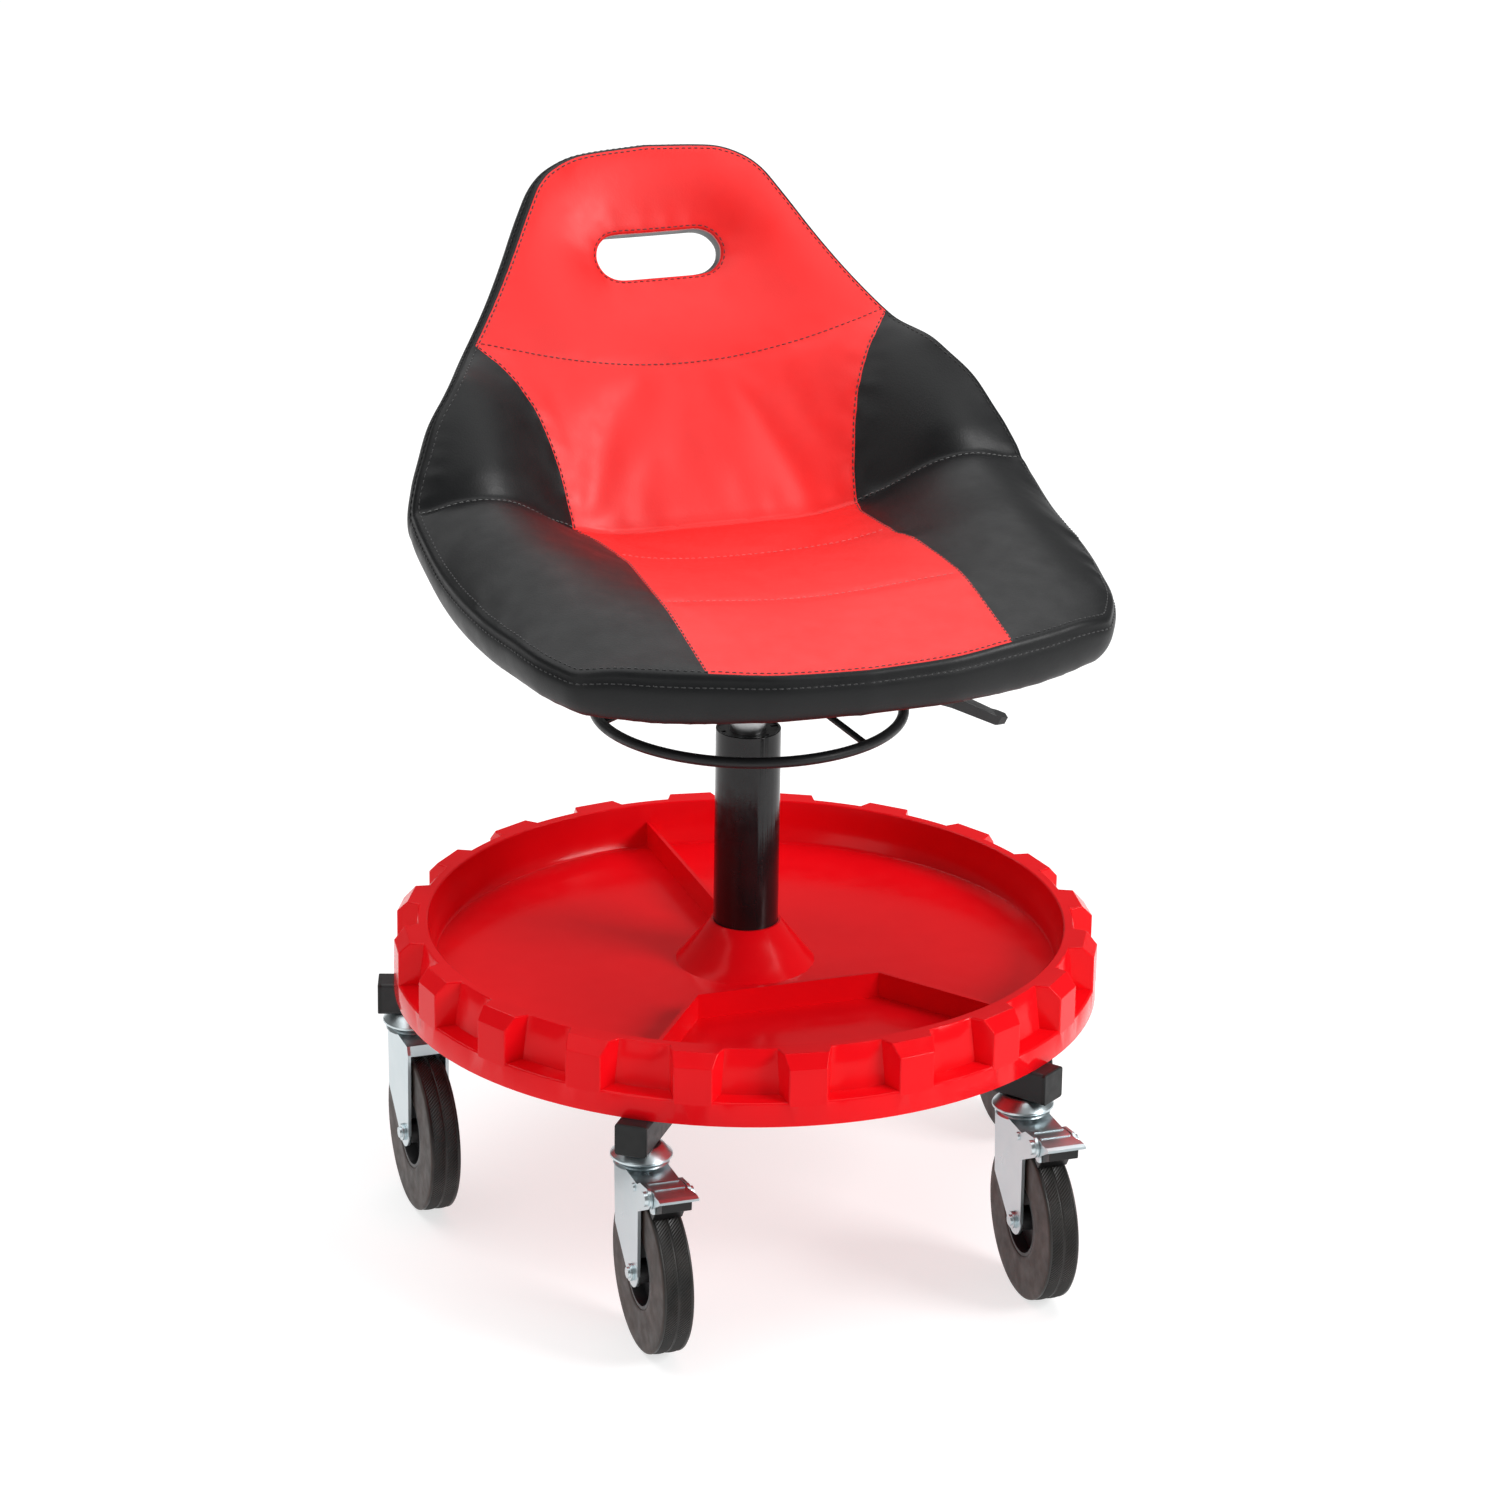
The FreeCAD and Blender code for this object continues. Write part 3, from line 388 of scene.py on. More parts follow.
def outward(xt, ids):
    """For each point of a loop, the direction out of it along the surface, in the CAD frame."""
    loop = xt[ids]
    along = np.roll(loop, -1, axis=0) - np.roll(loop, 1, axis=0)
    normal = np.column_stack([along[:, 1], -along[:, 0]])
    normal /= np.linalg.norm(normal, axis=1)[:, None]
    lean = turn_at(loop[:, 1])
    return np.column_stack([normal[:, 0], normal[:, 1] * np.cos(lean), normal[:, 1] * np.sin(lean)])


class Cushion:
    """The closed cushion: its vertices, faces, panels, the pinned vertices and how far seams pull in."""

    def __init__(self, plan):
        x, t = plan.xt.T
        self.plan = plan
        self.count = len(x)
        self.top = placed(x, t, eased(plan))
        self.rear = rear_points(x, t)
        self.rows = [self.top, self.rear]
        self.next_id = 2 * self.count
        self.faces = []
        self.panels = []
        self.pinned = set(range(self.count, 2 * self.count))
        self.pull = {}
        self.seam_edges = set()
        self.add_surfaces()
        self.add_seams()
        self.add_wall(plan.outer, BAND_ROWS, BAND_BULGE, False)
        self.add_wall(plan.hole, HOLE_ROWS, 0.0, True)
        self.vertices = np.vstack(self.rows)

    def add_surfaces(self):
        middle = np.array([self.plan.xt[list(f)].mean(0) for f in self.plan.faces])
        for face, red in zip(self.plan.faces, is_red(middle[:, 0], middle[:, 1])):
            self.faces.append(face)
            self.panels.append(RED if red else BLACK)
            self.faces.append(tuple(self.count + i for i in reversed(face)))
            self.panels.append(UNDER)

    def hold(self, ids, depth, closed=False):
        """Pins a run of vertices as a seam that is pulled in by depth millimetres."""
        for i in ids:
            self.pinned.add(i)
            self.pull[i] = max(self.pull.get(i, 0.0), depth)
        pairs = list(zip(ids, ids[1:])) + ([(ids[-1], ids[0])] if closed else [])
        self.seam_edges.update(frozenset(p) for p in pairs)

    def add_seams(self):
        for name, _line, depth in seams():
            self.hold(self.plan.lines[name], depth)
        self.hold(self.plan.outer, EDGE_PULL, True)
        self.hold(self.plan.rim, 0.0, True)
        self.hold(self.plan.hole, 0.0, True)

    def add_wall(self, ids, rows, bulge, is_hole):
        """The band round the seat, or the lining of the hand hole, in rows from the top to the rear."""
        out = outward(self.plan.xt, ids) * bulge * MM
        joints = []
        if not is_hole:
            loop = self.plan.xt[ids]
            joints = [int(np.argmin(np.hypot(*(loop - joint).T))) for joint in BAND_JOINTS]
        start, end = self.top[ids], self.rear[ids]
        above = list(ids)
        size = len(ids)
        for row, share in enumerate(rows):
            if share < 1:
                below = list(range(self.next_id, self.next_id + size))
                self.next_id += size
                swell = math.sin(math.pi * share) ** BULGE_FULLNESS
                self.rows.append(start * (1 - share) + end * share + out * swell)
                if is_hole or row == 0:
                    self.pinned.update(below)
                if row == SEAM_ROW and not is_hole:
                    self.hold(below, BAND_PULL, True)
            else:
                below = [self.count + i for i in ids]
            for k in joints:
                if row > SEAM_ROW:
                    self.hold([above[k], below[k]] if share < 1 else [above[k]], JOINT_PULL)
            for k in range(size):
                n = (k + 1) % size
                face = (above[k], below[k], below[n], above[n])
                self.faces.append(face[::-1] if is_hole else face)
                self.panels.append(RED if is_hole and row == 0 else BLACK)
            above = below


def new_mesh(name, vertices, faces, slots=None):
    mesh = bpy.data.meshes.new(name)
    mesh.from_pydata([tuple(v) for v in vertices], [], [tuple(f) for f in faces])
    if slots is not None:
        mesh.polygons.foreach_set("material_index", slots)
    mesh.update()
    piece = bpy.data.objects.new(name, mesh)
    bpy.context.scene.collection.objects.link(piece)
    return piece


def coordinates(mesh):
    co = np.zeros(len(mesh.vertices) * 3)
    mesh.vertices.foreach_get("co", co)
    return co.reshape(-1, 3)


def normals(mesh):
    out = np.zeros(len(mesh.vertices) * 3)
    mesh.vertex_normals.foreach_get("vector", out)
    return out.reshape(-1, 3)


# ---- padding ------------------------------------------------------------------------------------
PRESSURE = 2.6
SIM_FRAMES = 20
MOST_PUFF = 5.0 * MM         # padding never rises further than this between two seams
SHELL_GAP = 2.6 * MM         # the cover keeps this far off the plywood shell
SHELL_REACH = 12 * MM        # the shell is looked for this far outside the cover
SHELL_EASING = 10            # rounds of easing round the places that are moved out


def inflate(piece, pinned):
    """Blows the cushion up between its seams by cloth simulation, and keeps the result in its mesh."""
    scene = bpy.context.scene
    group = piece.vertex_groups.new(name="seams")
    group.add(sorted(pinned), 1.0, "REPLACE")
    cloth = piece.modifiers.new("padding", "CLOTH")
    cloth.point_cache.frame_start = 1
    cloth.point_cache.frame_end = SIM_FRAMES
    settings = cloth.settings
    settings.quality = 6
    settings.mass = 0.3
    settings.tension_stiffness = 30
    settings.compression_stiffness = 30
    settings.shear_stiffness = 12
    settings.bending_stiffness = 4
    settings.vertex_group_mass = "seams"
    settings.use_pressure = True
    settings.uniform_pressure_force = PRESSURE
    settings.effector_weights.gravity = 0
    cloth.collision_settings.use_collision = False
    rest = coordinates(piece.data)
    for step in range(1, SIM_FRAMES + 1):
        scene.frame_set(step)
    puffed = piece.evaluated_get(bpy.context.evaluated_depsgraph_get()).to_mesh()
    moved = coordinates(puffed) - rest
    piece.evaluated_get(bpy.context.evaluated_depsgraph_get()).to_mesh_clear()
    piece.modifiers.remove(cloth)
    scene.frame_set(1)
    far = np.maximum(np.linalg.norm(moved, axis=1), 1e-9)
    kept = MOST_PUFF * np.tanh(far / MOST_PUFF) / far
    piece.data.vertices.foreach_set("co", (rest + moved * kept[:, None]).ravel())
    piece.data.update()


RIPPLE = 0.35                # heights in millimetres
PUCKER = 0.9
DRAPE = 0.4
LOW_BACK = (60, 55, 105)     # centre and reach along the loose part of the back, and its reach across
PUCKER_AT = (12, 14, 24)     # inside the crease's end, above it, and reach
PUCKER_WAVE = (4.6, 9.0)
SEAM_SHARPNESS = 0.8         # how sharply the smoothed surface turns at a seam


def wrinkle(cushion, piece):
    """Faint ripples in the loose vinyl of the back, and puckers at the crease's ends."""
    centre, reach, across = LOW_BACK
    pucker_x, pucker_t, pucker_reach = PUCKER_AT
    wave_x, wave_t = PUCKER_WAVE
    co = coordinates(piece.data)
    normal = normals(piece.data)
    for i, (x, t) in enumerate(cushion.plan.xt):
        if i in cushion.pinned:
            continue
        low_back = math.exp(-((t - centre) / reach) ** 2) * math.exp(-(x / across) ** 4)
        ripple = RIPPLE * low_back * field.noise(Vector(((x + 0.4 * t) / 19, t / 50, 1.7)))
        corner = math.exp(-(math.hypot(abs(x) - CREASE_X + pucker_x, t - pucker_t) / pucker_reach) ** 2)
        pucker = PUCKER * corner * math.sin(abs(x) / wave_x + t / wave_t)
        drape = DRAPE * field.noise(Vector((x / 60, t / 60, 4.1)))
        co[i] += normal[i] * (ripple + pucker + drape) * MM
    piece.data.vertices.foreach_set("co", co.ravel())
    piece.data.update()


def pull_seams(cushion, piece):
    """Draws each seam into the padding by its own depth."""
    co = coordinates(piece.data)
    normal = normals(piece.data)
    for i, depth in cushion.pull.items():
        co[i] -= normal[i] * depth * MM
    piece.data.vertices.foreach_set("co", co.ravel())
    piece.data.update()


def cover_shell(piece):
    """Moves the cover out wherever the plywood shell would show through it, and eases the step."""
    shell = BVHTree.FromObject(NODES["seat_shell"], bpy.context.evaluated_depsgraph_get())
    co = coordinates(piece.data)
    normal = normals(piece.data)
    need = np.zeros(len(co))
    for i in range(len(co)):
        out = Vector(normal[i])
        hit, _, _, far = shell.ray_cast(Vector(co[i]) + out * SHELL_REACH, -out, SHELL_REACH + SHELL_GAP)
        if hit is not None:
            need[i] = SHELL_REACH + SHELL_GAP - far
    ends = np.zeros(len(piece.data.edges) * 2, dtype=np.int32)
    piece.data.edges.foreach_get("vertices", ends)
    a, b = ends.reshape(-1, 2).T
    neighbours = np.maximum(np.bincount(ends, minlength=len(co)), 1)
    push = need.copy()
    for _ in range(SHELL_EASING):
        total = np.bincount(a, push[b], len(co)) + np.bincount(b, push[a], len(co))
        push = np.maximum(need, total / neighbours)
    piece.data.vertices.foreach_set("co", (co + normal * push[:, None]).ravel())
    piece.data.update()


def squared(piece, seam_edges):
    """Pairs the triangles into four-sided faces, leaving every seam a run of edges."""
    bm = bmesh.new()
    bm.from_mesh(piece.data)
    bm.edges.ensure_lookup_table()
    crease = bm.edges.layers.float.new("crease_edge")
    for edge in bm.edges:
        edge.seam = frozenset(v.index for v in edge.verts) in seam_edges
        edge[crease] = SEAM_SHARPNESS if edge.seam else 0.0
    triangles = [f for f in bm.faces if len(f.verts) == 3]
    bmesh.ops.join_triangles(bm, faces=triangles, cmp_seam=True, cmp_materials=True,
                             angle_face_threshold=math.radians(50), angle_shape_threshold=math.radians(60))
    for face in bm.faces:
        face.smooth = True
    bm.to_mesh(piece.data)
    bm.free()
    piece.data.update()


def make_cushion():
    plan = Plan()
    cushion = Cushion(plan)
    piece = new_mesh("seat_upholstery", cushion.vertices, cushion.faces, cushion.panels)
    inflate(piece, cushion.pinned)
    wrinkle(cushion, piece)
    pull_seams(cushion, piece)
    cover_shell(piece)
    squared(piece, cushion.seam_edges)
    smooth = piece.modifiers.new("smooth", "SUBSURF")
    smooth.levels = 1
    smooth.render_levels = 1
    for slot in ("vinyl_red", "vinyl_black", "vinyl_under"):
        piece.data.materials.append(MATERIALS[slot])
    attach(piece, "seat")
    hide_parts("seat_cushion", "rear_cover")
    return piece


# ---- stitching ----------------------------------------------------------------------------------
STITCH_PITCH = 5.0           # in millimetres, as are the lengths below that have no MM
STITCH_LENGTH = 3.7
THREAD = 0.42                # radius of a thread
# (share of the stitch's length, share of the thread's radius, height) of the rings round a stitch
STITCH_SHAPE = ((0.0, 0.45, -0.30), (0.18, 1.0, 0.12), (0.5, 1.0, 0.30), (0.82, 1.0, 0.12),
                (1.0, 0.45, -0.30))
STITCH_SIDES = 6
STITCH_FLATNESS = 0.8
SEARCH = 20 * MM             # the surface is looked for this far off it and under it
# (thread, seam, distance of the stitches from the seam)
SIDE_STITCHES = (("black", PAN_SEAM, 0.9), ("black", WING_SEAM, 0.9), ("grey", HIP_SEAM, 2.2))
YOKE_OFFSET = 1.6
QUILT_END = 4.0              # the quilting stops this far short of the panel's edge
QUILT_OFFSET = 0.4
HEM = 4.4                    # the hand hole's stitches run round a slot this much larger than it
EDGE_INSET = (0.988, 0.992)
BAND_STITCH_DROP = 0.06      # as a share of the band, below the row that the stitches hold
BAND_STITCH_LIFT = 2 * MM


class Stitcher:
    """Lays stitches on the finished cushion as short threads that dip into the vinyl at both ends."""

    def __init__(self, cushion):
        graph = bpy.context.evaluated_depsgraph_get()
        self.surface = BVHTree.FromObject(cushion, graph)
        self.vertices = []
        self.faces = []

    def landed(self, point, away):
        """The surface's point and normal under a point that stands off it."""
        start = Vector(point) + Vector(away) * SEARCH
        hit, normal, _face, _gap = self.surface.ray_cast(start, -Vector(away), 2 * SEARCH)
        if hit is None:
            hit, normal, _face, _gap = self.surface.find_nearest(Vector(point))
        return hit, normal

    def run(self, points, away):
        """Stitches along a fine line of points; away holds the direction off the surface at each."""
        points = np.array(points)
        walked = np.concatenate([[0], np.cumsum(np.linalg.norm(np.diff(points, axis=0), axis=1))])
        count = int(walked[-1] / (STITCH_PITCH * MM))
        for k in range(count):
            ends = []
            for share in (-0.5, 0.5):
                s = (k + 0.5) * STITCH_PITCH * MM + share * STITCH_LENGTH * MM
                here = [np.interp(s, walked, points[:, c]) for c in range(3)]
                off = Vector([np.interp(s, walked, np.array(away)[:, c]) for c in range(3)]).normalized()
                ends.append(self.landed(here, off))
            self.thread(ends)

    def thread(self, ends):
        """One stitch between two landed ends, unless they have come out too close or too far apart."""
        (a, normal_a), (b, normal_b) = ends
        along = b - a
        if along.length < 1e-5 or along.length > 2 * STITCH_LENGTH * MM:
            return
        up = (normal_a + normal_b).normalized()
        side = along.cross(up).normalized()
        base = len(self.vertices)
        sides = STITCH_SIDES
        for share, girth, height in STITCH_SHAPE:
            centre = a.lerp(b, share) + up * height * MM
            for n in range(sides):
                angle = 2 * math.pi * n / sides
                reach = side * math.cos(angle) + up * math.sin(angle) * STITCH_FLATNESS
                self.vertices.append(centre + reach * THREAD * girth * MM)
        for ring in range(len(STITCH_SHAPE) - 1):
            for n in range(sides):
                m = (n + 1) % sides
                low = base + ring * sides
                self.faces.append((low + n, low + m, low + sides + m, low + sides + n))
        last = base + (len(STITCH_SHAPE) - 1) * sides
        self.faces.append(tuple(base + n for n in reversed(range(sides))))
        self.faces.append(tuple(last + n for n in range(sides)))

    def piece(self, name, slot, material):
        made = new_mesh(name, self.vertices, self.faces)
        made.data.polygons.foreach_set("use_smooth", [True] * len(made.data.polygons))
        made.data.materials.append(MATERIALS[material])
        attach(made, "seat")


def beside(line, offset, spacing=2.0):
    """A line of (x, t) points moved sideways, to the left of its run for a positive offset."""
    fine = resampled(line, spacing)
    along = np.gradient(fine, axis=0)
    along /= np.linalg.norm(along, axis=1)[:, None]
    return fine + np.column_stack([-along[:, 1], along[:, 0]]) * offset


def on_top(line):
    """CAD-frame points of an (x, t) line on the upper surface, and the directions off it."""
    x, t = np.array(line).T
    lean = turn_at(t)
    away = np.column_stack([np.zeros(len(x)), -np.sin(lean), np.cos(lean)])
    return top_points(x, t), away


def stitch_panels(cushion):
    threads = {name: Stitcher(cushion) for name in ("red", "black", "grey", "light")}
    for mirror in (False, True):
        turn = -1 if mirror else 1
        for thread_name, line, offset in SIDE_STITCHES:
            line = mirrored(line) if mirror else line
            threads[thread_name].run(*on_top(beside(line, turn * offset)))
    threads["red"].run(*on_top(beside(yoke_seam(), YOKE_OFFSET)))
    for t in QUILT_ROWS:
        half = half_width(PAN_SEAM, t) - QUILT_END
        # the quilt rows are stitched in thread_light: real stitching whose pale red is partly a painted
        # highlight along the quilted rows
        threads["light"].run(*on_top([(x, t - QUILT_OFFSET) for x in np.linspace(-half, half, 80)]))
    rim = rounded_slot(HOLE_LENGTH + HEM, HOLE_HEIGHT + HEM, HOLE_CORNER + HEM / 2, 2.0)
    threads["red"].run(*on_top(np.vstack([rim, rim[:1]])))
    loop = outline_loop(2.0)
    loop = np.vstack([loop, loop[:1]])
    threads["black"].run(*on_top(loop * EDGE_INSET))
    start, end = top_points(*loop.T), rear_points(*loop.T)
    out = outward(loop, list(range(len(loop))))
    share = BAND_ROWS[SEAM_ROW] + BAND_STITCH_DROP
    threads["black"].run(start * (1 - share) + end * share + out * BAND_STITCH_LIFT, out)
    for name, stitcher in threads.items():
        slot = "vinyl_black" if name == "black" else "vinyl_red"
        stitcher.piece("stitching_" + name, slot, "thread_" + name)


# ---- tyres --------------------------------------------------------------------------------------
TYRE_RADIUS = 62.5           # all in millimetres
TYRE_BORE = 29.0
GROOVE = [(0.0, 1.3), (0.5, 1.0)]    # (across, depth) of the groove round the middle
KNURLED = (1.0, 9.0, 7)      # from and to across the half tread, in this many rows
CROWN = 4.6                  # the half tread is highest here
CROWN_REACH = 4.4
CROWN_DROP = 0.55
WALL_FROM = 11.0             # outside this the rubber has the side wall's finish
KNURL_STEPS = 300            # points round the tread, one peak to every second one
KNURL_DEPTH = 0.6
# (across, radius) from the knurling's edge over the shoulder to the bore
SHOULDER_LINE = [(9.3, 61.4), (9.7, 61.9), (10.2, 62.05), (11.2, 61.8), (11.8, 61.0), (12.0, 60.0),
                 (12.0, 57.0), (12.0, 45.0), (11.9, 33.0), (12.0, 31.5), (11.7, 29.6), (11.3, TYRE_BORE)]


def tread_rows():
    """(across, radius, knurled) rows of the half tread, from the centre groove outwards."""
    rows = [(across, TYRE_RADIUS - depth, False) for across, depth in GROOVE]
    for across in np.linspace(*KNURLED):
        crown = TYRE_RADIUS - CROWN_DROP * ((across - CROWN) / CROWN_REACH) ** 2
        rows.append((across, crown, True))
    return rows


def tyre_mesh():
    """A ring of rubber about the X axis, closed across the bore, and the rows that it is made of."""
    half = tread_rows() + [(x, r, False) for x, r in SHOULDER_LINE]
    rows = [(-x, r, knurled) for x, r, knurled in reversed(half[1:])] + half
    vertices = []
    for n, (across, radius, knurled) in enumerate(rows):
        for k in range(KNURL_STEPS):
            angle = 2 * math.pi * k / KNURL_STEPS
            low = KNURL_DEPTH if knurled and (n + k) % 2 else 0.0
            reach = (radius - low) * MM
            vertices.append((across * MM, reach * math.sin(angle), reach * math.cos(angle)))
    faces = []
    count = len(rows)
    for n in range(count):
        for k in range(KNURL_STEPS):
            m = (k + 1) % KNURL_STEPS
            here, there = n * KNURL_STEPS, (n + 1) % count * KNURL_STEPS
            faces.append((here + k, there + k, there + m, here + m))
    return vertices, faces, rows


def make_tyres():
    vertices, faces, rows = tyre_mesh()
    for caster in CASTERS:
        low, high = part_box("tyre_" + caster)
        middle = (low + high) / 2
        placed_at = [Vector(v) + middle for v in vertices]
        tyre = new_mesh("tyre_tread_" + caster, placed_at, faces)
        smooth = [not (rows[n][2] and rows[(n + 1) % len(rows)][2])
                  for n in range(len(rows)) for _k in range(KNURL_STEPS)]
        tyre.data.polygons.foreach_set("use_smooth", smooth)
        wall = [min(abs(rows[n][0]), abs(rows[(n + 1) % len(rows)][0])) > WALL_FROM
                for n in range(len(rows)) for _k in range(KNURL_STEPS)]
        tyre.data.polygons.foreach_set("material_index", [int(w) for w in wall])
        tyre.data.materials.append(MATERIALS["tyre_rubber"])
        tyre.data.materials.append(MATERIALS["tyre_wall"])
        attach(tyre, "wheel_" + caster)
        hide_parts("tyre_" + caster)


# ---- materials ----------------------------------------------------------------------------------
class Finish:
    """A Principled material, built up from patterns in object space."""

    def __init__(self, name, colour, roughness, metallic=0.0, **inputs):
        self.material = bpy.data.materials.new(name)
        self.material.use_nodes = True
        self.nodes = self.material.node_tree.nodes
        self.links = self.material.node_tree.links
        self.shader = self.nodes["Principled BSDF"]
        self.colour = colour
        self.set("Base Color", (*colour, 1))
        self.set("Roughness", roughness)
        self.set("Metallic", metallic)
        for socket, value in inputs.items():
            self.set(socket.replace("_", " "), value)
        self.place = self.nodes.new("ShaderNodeTexCoord").outputs["Object"]

    def set(self, socket, value):
        self.shader.inputs[socket].default_value = value

    def stretched(self, scale):
        mapping = self.nodes.new("ShaderNodeMapping")
        mapping.inputs["Scale"].default_value = scale
        self.links.new(self.place, mapping.inputs["Vector"])
        return mapping.outputs["Vector"]

    def noise(self, scale, detail=3.0, stretch=None):
        node = self.nodes.new("ShaderNodeTexNoise")
        node.inputs["Scale"].default_value = scale
        node.inputs["Detail"].default_value = detail
        self.links.new(self.stretched(stretch) if stretch else self.place, node.inputs["Vector"])
        return node.outputs["Fac"]

    def cells(self, scale, feature="F1"):
        node = self.nodes.new("ShaderNodeTexVoronoi")
        node.feature = feature
        node.inputs["Scale"].default_value = scale
        self.links.new(self.place, node.inputs["Vector"])
        return node.outputs["Distance"]

    def spread(self, value, low, high, to_low, to_high):
        node = self.nodes.new("ShaderNodeMapRange")
        limits = (("From Min", low), ("From Max", high), ("To Min", to_low), ("To Max", to_high))
        for socket, number in limits:
            node.inputs[socket].default_value = number
        self.links.new(value, node.inputs["Value"])
        return node.outputs["Result"]

    def tint(self, value, dark, light, low=0.35, high=0.65):
        """Base colour that runs from dark to light times the finish's colour as value rises."""
        ramp = self.nodes.new("ShaderNodeValToRGB")
        ramp.color_ramp.elements[0].position = low
        ramp.color_ramp.elements[1].position = high
        for element, factor in zip(ramp.color_ramp.elements, (dark, light)):
            factor = factor if isinstance(factor, tuple) else (factor,) * 3
            element.color = (*(min(1.0, c * f) for c, f in zip(self.colour, factor)), 1)
        self.links.new(value, ramp.inputs["Fac"])
        self.links.new(ramp.outputs["Color"], self.shader.inputs["Base Color"])

    def rough(self, value, low, high):
        self.links.new(self.spread(value, 0.3, 0.7, low, high), self.shader.inputs["Roughness"])

    def bump(self, value, depth, strength=1.0):
        """Adds a relief of this depth in metres on top of the reliefs that are there already."""
        node = self.nodes.new("ShaderNodeBump")
        node.inputs["Strength"].default_value = strength
        node.inputs["Distance"].default_value = depth
        self.links.new(value, node.inputs["Height"])
        taken = self.shader.inputs["Normal"].links
        if taken:
            self.links.new(taken[0].from_socket, node.inputs["Normal"])
        self.links.new(node.outputs["Normal"], self.shader.inputs["Normal"])


def vinyl(name, colour, roughness, grain, gloss):
    """Upholstery vinyl: pebbled grain, cloudy sheen, and faint colour drift."""
    finish = Finish(name, colour, roughness, Specular_IOR_Level=gloss)
    finish.tint(finish.noise(14, 4), 0.94, 1.05)
    finish.rough(finish.noise(55, 4), roughness - 0.04, roughness + 0.06)
    finish.bump(finish.noise(45, 2), 0.0004, 0.12)
    finish.bump(finish.cells(760, "SMOOTH_F1"), 0.00020, grain)
    finish.bump(finish.noise(2600, 2), 0.00005, 0.4)
    return finish.material


def coated(name, colour, roughness, peel, depth):
    """Paint or moulded plastic with a fine texture of that many bumps a metre."""
    finish = Finish(name, colour, roughness, Specular_IOR_Level=0.35)
    finish.tint(finish.noise(35, 4), 0.88, 1.12)
    finish.rough(finish.noise(120, 5), roughness - 0.06, roughness + 0.08)
    finish.bump(finish.noise(peel, 3), depth, 0.6)
    return finish.material


def plated(name, colour, low, high, bumpy=0.00004):
    """Zinc, chrome or ground steel: cloudy gloss with fine drawn lines."""
    finish = Finish(name, colour, low, 1.0)
    finish.tint(finish.noise(25, 2), (0.95, 0.97, 0.98), 1.02)
    finish.rough(finish.noise(40, 3), low, high)
    finish.bump(finish.noise(900, 2), bumpy, 0.12)
    return finish.material


def tray_plastic():
    """Glossy moulded ABS with sink marks, fine scratches and dust-dulled patches."""
    finish = Finish("tray_red", (0.84, 0.003, 0.007), 0.16, Specular_IOR_Level=0.13)
    finish.tint(finish.noise(9, 3), (0.95, 1.0, 1.0), (1.03, 1.3, 1.2))
    finish.rough(finish.noise(70, 5), 0.13, 0.22)
    finish.bump(finish.noise(420, 4, (1, 0.07, 1)), 0.00002, 0.15)
    finish.bump(finish.noise(24, 2), 0.0006, 0.12)
    return finish.material


def rubber(name, colour, roughness):
    finish = Finish(name, colour, roughness, Specular_IOR_Level=0.4)
    finish.tint(finish.noise(60, 5), (0.8, 0.8, 0.8), (1.35, 1.2, 1.15))
    finish.rough(finish.noise(90, 4), roughness - 0.08, roughness + 0.10)
    finish.bump(finish.noise(1500, 4), 0.00008, 0.5)
    return finish.material


def wood(name):
    finish = Finish(name, (0.55, 0.38, 0.22), 0.55)
    finish.tint(finish.noise(60, 6, (1, 0.08, 1)), 0.7, 1.15)
    finish.bump(finish.noise(300, 4, (1, 0.05, 1)), 0.0002, 0.5)
    return finish.material


def thread(name, colour):
    finish = Finish(name, colour, 0.7, Sheen_Weight=0.3)
    finish.tint(finish.noise(2500, 2), 0.75, 1.15)
    finish.bump(finish.noise(3500, 2), 0.00015, 0.8)
    return finish.material


MATERIALS = {
    "vinyl_red": vinyl("vinyl_red", (0.80, 0.014, 0.013), 0.44, 0.22, 0.38),
    "vinyl_black": vinyl("vinyl_black", (0.005, 0.0055, 0.006), 0.42, 0.30, 0.27),
    "vinyl_under": vinyl("vinyl_under", (0.009, 0.009, 0.010), 0.62, 0.5, 0.17),
    "thread_red": thread("thread_red", (0.11, 0.004, 0.005)),
    "thread_black": thread("thread_black", (0.012, 0.012, 0.013)),
    "thread_grey": thread("thread_grey", (0.11, 0.11, 0.11)),
    # thread_light: quilting thread coloured paler than the vinyl, partly its own colour and partly a painted
    # highlight along the quilted rows
    "thread_light": thread("thread_light", (0.72, 0.10, 0.10)),
    "frame_black": coated("frame_black", (0.013, 0.013, 0.014), 0.42, 1400, 0.0001),
    "cap_black": coated("cap_black", (0.008, 0.0085, 0.0085), 0.5, 1900, 0.00008),
    "tray_red": tray_plastic(),
    "zinc_steel": plated("zinc_steel", (0.60, 0.67, 0.69), 0.27, 0.36),
    "column_black": coated("column_black", (0.010, 0.010, 0.011), 0.16, 500, 0.00005),
    "bush_black": coated("bush_black", (0.02, 0.02, 0.02), 0.4, 1500, 0.00006),
    "bearing_steel": plated("bearing_steel", (0.55, 0.55, 0.56), 0.25, 0.4),
    "chrome_rod": plated("chrome_rod", (0.80, 0.80, 0.82), 0.05, 0.12, 0.00001),
    "bumper_rubber": rubber("bumper_rubber", (0.02, 0.02, 0.02), 0.7),
    "cylinder_steel": plated("cylinder_steel", (0.50, 0.50, 0.50), 0.22, 0.38),
    "plywood": wood("plywood"),
    "paddle_black": coated("paddle_black", (0.022, 0.022, 0.023), 0.36, 1300, 0.00008),
    "tyre_rubber": rubber("tyre_rubber", (0.017, 0.017, 0.016), 0.42),
    "tyre_wall": rubber("tyre_wall", (0.033, 0.022, 0.018), 0.5),
    "rim_black": coated("rim_black", (0.014, 0.014, 0.015), 0.38, 1500, 0.00006),
    "shoe_black": coated("shoe_black", (0.005, 0.005, 0.005), 0.4, 1500, 0.00006),
}


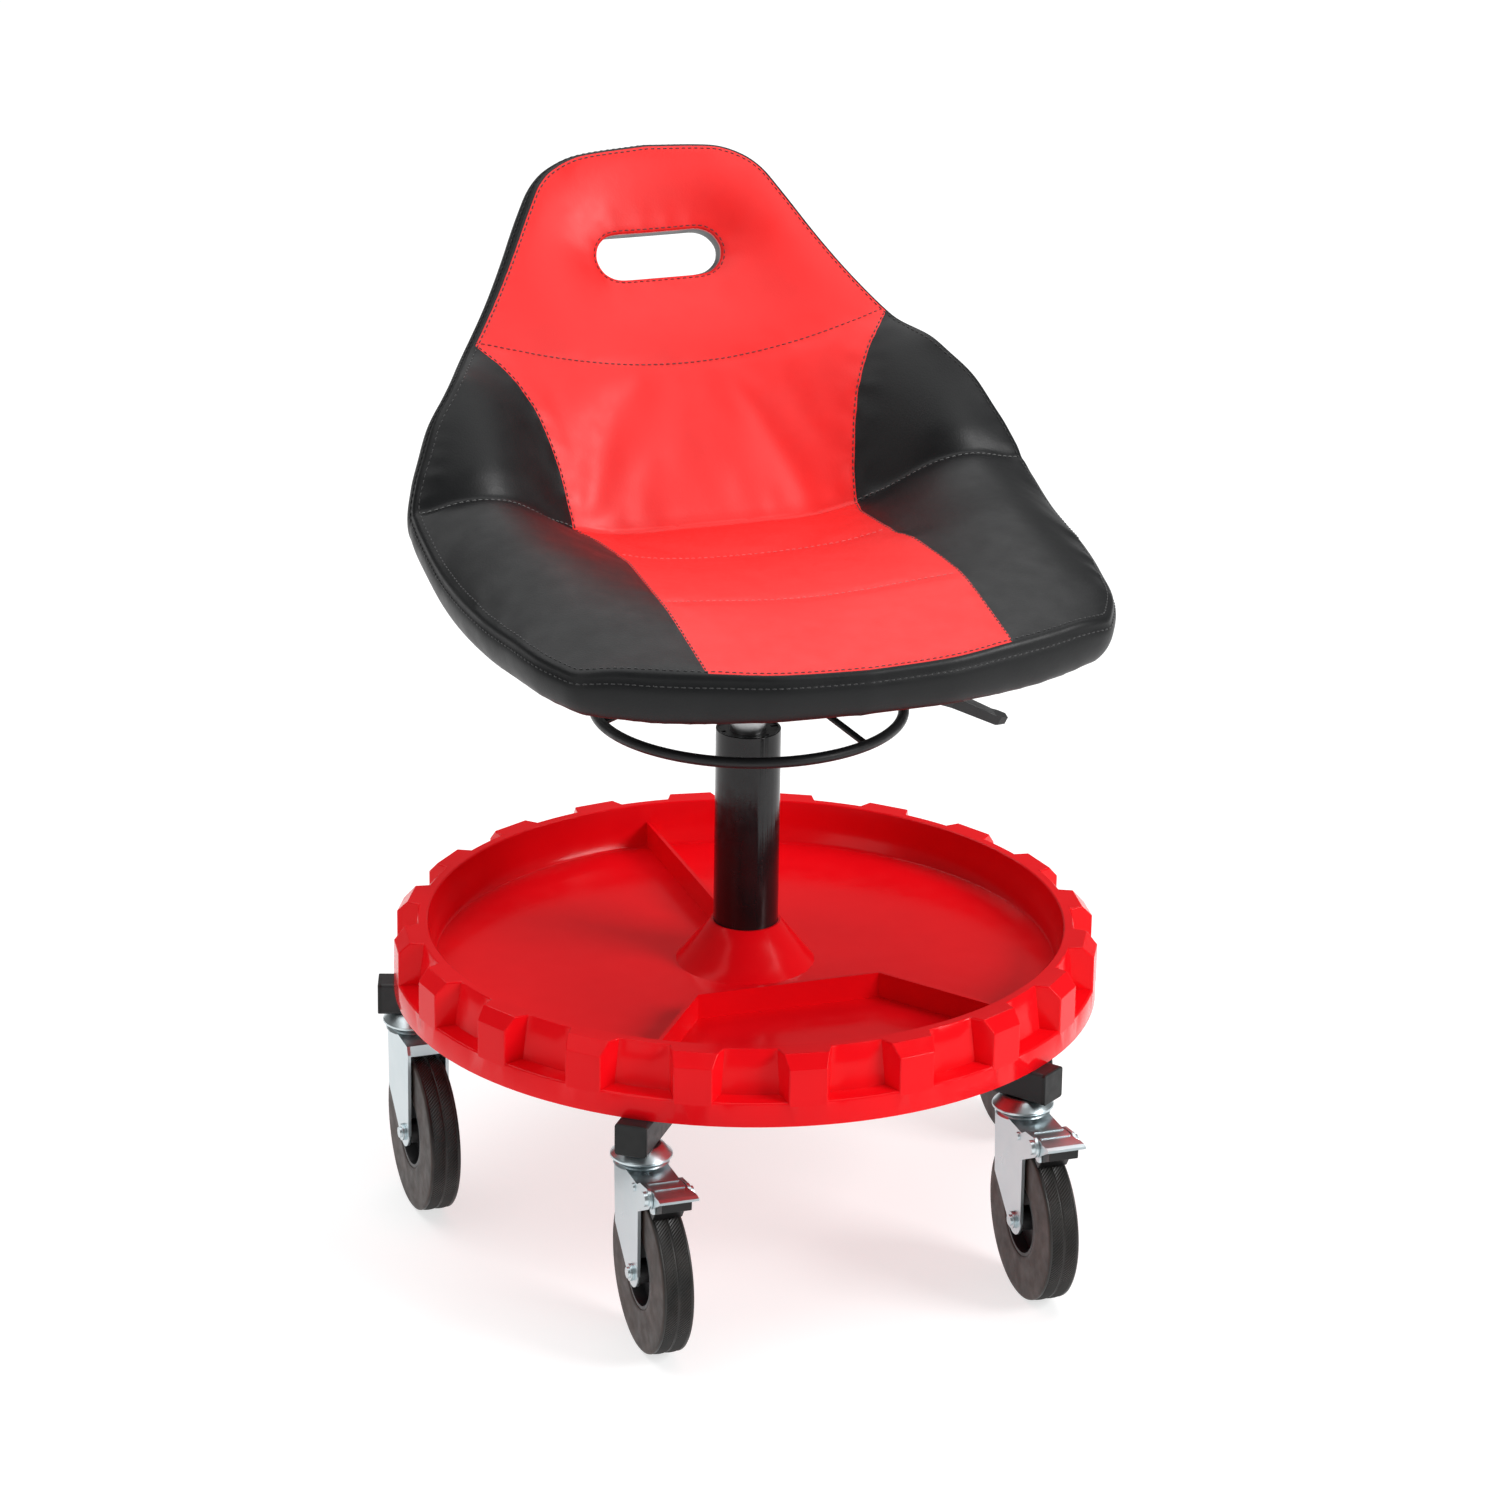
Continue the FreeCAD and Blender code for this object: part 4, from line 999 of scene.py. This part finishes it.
def finish_nodes():
    """Gives every CAD node the finish of its material slot, and rounds the sharp edges of those in the listed
    finishes a little.
    """
    soft_edge = {"tray_red": 0.7, "zinc_steel": 0.45, "cap_black": 0.6, "paddle_black": 1.2, "rim_black": 0.4,
                 "shoe_black": 0.5, "column_black": 0.3, "frame_black": 0.4}
    for part in frame["record"]["subparts"]:
        node = NODES[part["node"]]
        slot = part["material_slot"]
        node.data.materials.clear()
        node.data.materials.append(MATERIALS[slot])
        if slot in soft_edge:
            weld = node.modifiers.new("weld", "WELD")
            weld.merge_threshold = 0.00001
            bevel = node.modifiers.new("edges", "BEVEL")
            bevel.width = soft_edge[slot] * MM
            bevel.segments = 2
            bevel.limit_method = "ANGLE"
            bevel.angle_limit = math.radians(40)
            bevel.use_clamp_overlap = True
            bevel.harden_normals = False


# ---- studio -------------------------------------------------------------------------------------
def make_floor():
    size = 16.0
    steps = 12
    vertices = []
    faces = []
    for j in range(steps + 1):
        for i in range(steps + 1):
            vertices.append(((i / steps - 0.5) * size, (j / steps - 0.5) * size, 0.0))
    for j in range(steps):
        for i in range(steps):
            low = j * (steps + 1) + i
            faces.append((low, low + 1, low + steps + 2, low + steps + 1))
    floor = new_mesh("studio_floor", vertices, faces)
    paint = Finish("studio_floor", (0.45, 0.45, 0.45), 0.7, Specular_IOR_Level=0.1)
    paint.tint(paint.noise(3, 2), 0.985, 1.01)
    paint.set("Emission Color", (1, 1, 1, 1))
    paint.set("Emission Strength", 0.68)
    floor.data.materials.append(paint.material)


def aim(thing, target):
    way = Vector(target) - thing.location
    thing.rotation_mode = "QUATERNION"
    thing.rotation_quaternion = way.to_track_quat("-Z", "Y")


def softbox(name, place, target, width, height, power):
    data = bpy.data.lights.new(name, "AREA")
    data.shape = "RECTANGLE"
    data.size = width
    data.size_y = height
    data.energy = power
    lamp = bpy.data.objects.new(name, data)
    bpy.context.scene.collection.objects.link(lamp)
    lamp.location = place
    aim(lamp, target)


def make_lights():
    middle = (0, 0, 0.35)
    softbox("key_softbox", (2.4, -2.4, 2.2), middle, 1.5, 1.5, 105)
    softbox("top_softbox", (0.0, 1.6, 3.6), (0, 1.6, 0), 6.0, 6.0, 190)
    softbox("fill_softbox", (-3.0, -1.6, 1.6), middle, 1.6, 2.0, 12)
    world = bpy.data.worlds.new("studio_air")
    world.use_nodes = True
    air = world.node_tree.nodes["Background"]
    air.inputs["Color"].default_value = (1, 1, 1, 1)
    air.inputs["Strength"].default_value = 0.20
    bpy.context.scene.world = world
    bpy.context.scene.view_settings.view_transform = "Standard"


def make_camera():
    distance = 4.501
    azimuth = math.radians(-19.2)
    elevation = math.radians(21.0)
    target = Vector((0.00136, -0.00047, 0.3691))
    roll = math.radians(0.85)
    away = Vector((math.sin(azimuth) * math.cos(elevation), -math.cos(azimuth) * math.cos(elevation),
                   math.sin(elevation)))
    data = bpy.data.cameras.new("camera")
    data.lens = 141.4
    data.sensor_width = 36.0
    data.clip_start = 0.1
    data.clip_end = 60.0
    camera = bpy.data.objects.new("camera", data)
    bpy.context.scene.collection.objects.link(camera)
    camera.location = target + away * distance
    level = (-away).to_track_quat("-Z", "Y").to_matrix().to_4x4()
    camera.rotation_mode = "QUATERNION"
    camera.rotation_quaternion = (level @ Matrix.Rotation(roll, 4, "Z")).to_quaternion()
    bpy.context.scene.camera = camera


make_camera()
make_lights()
make_floor()
finish_nodes()
upholstery = make_cushion()
stitch_panels(upholstery)
make_tyres()
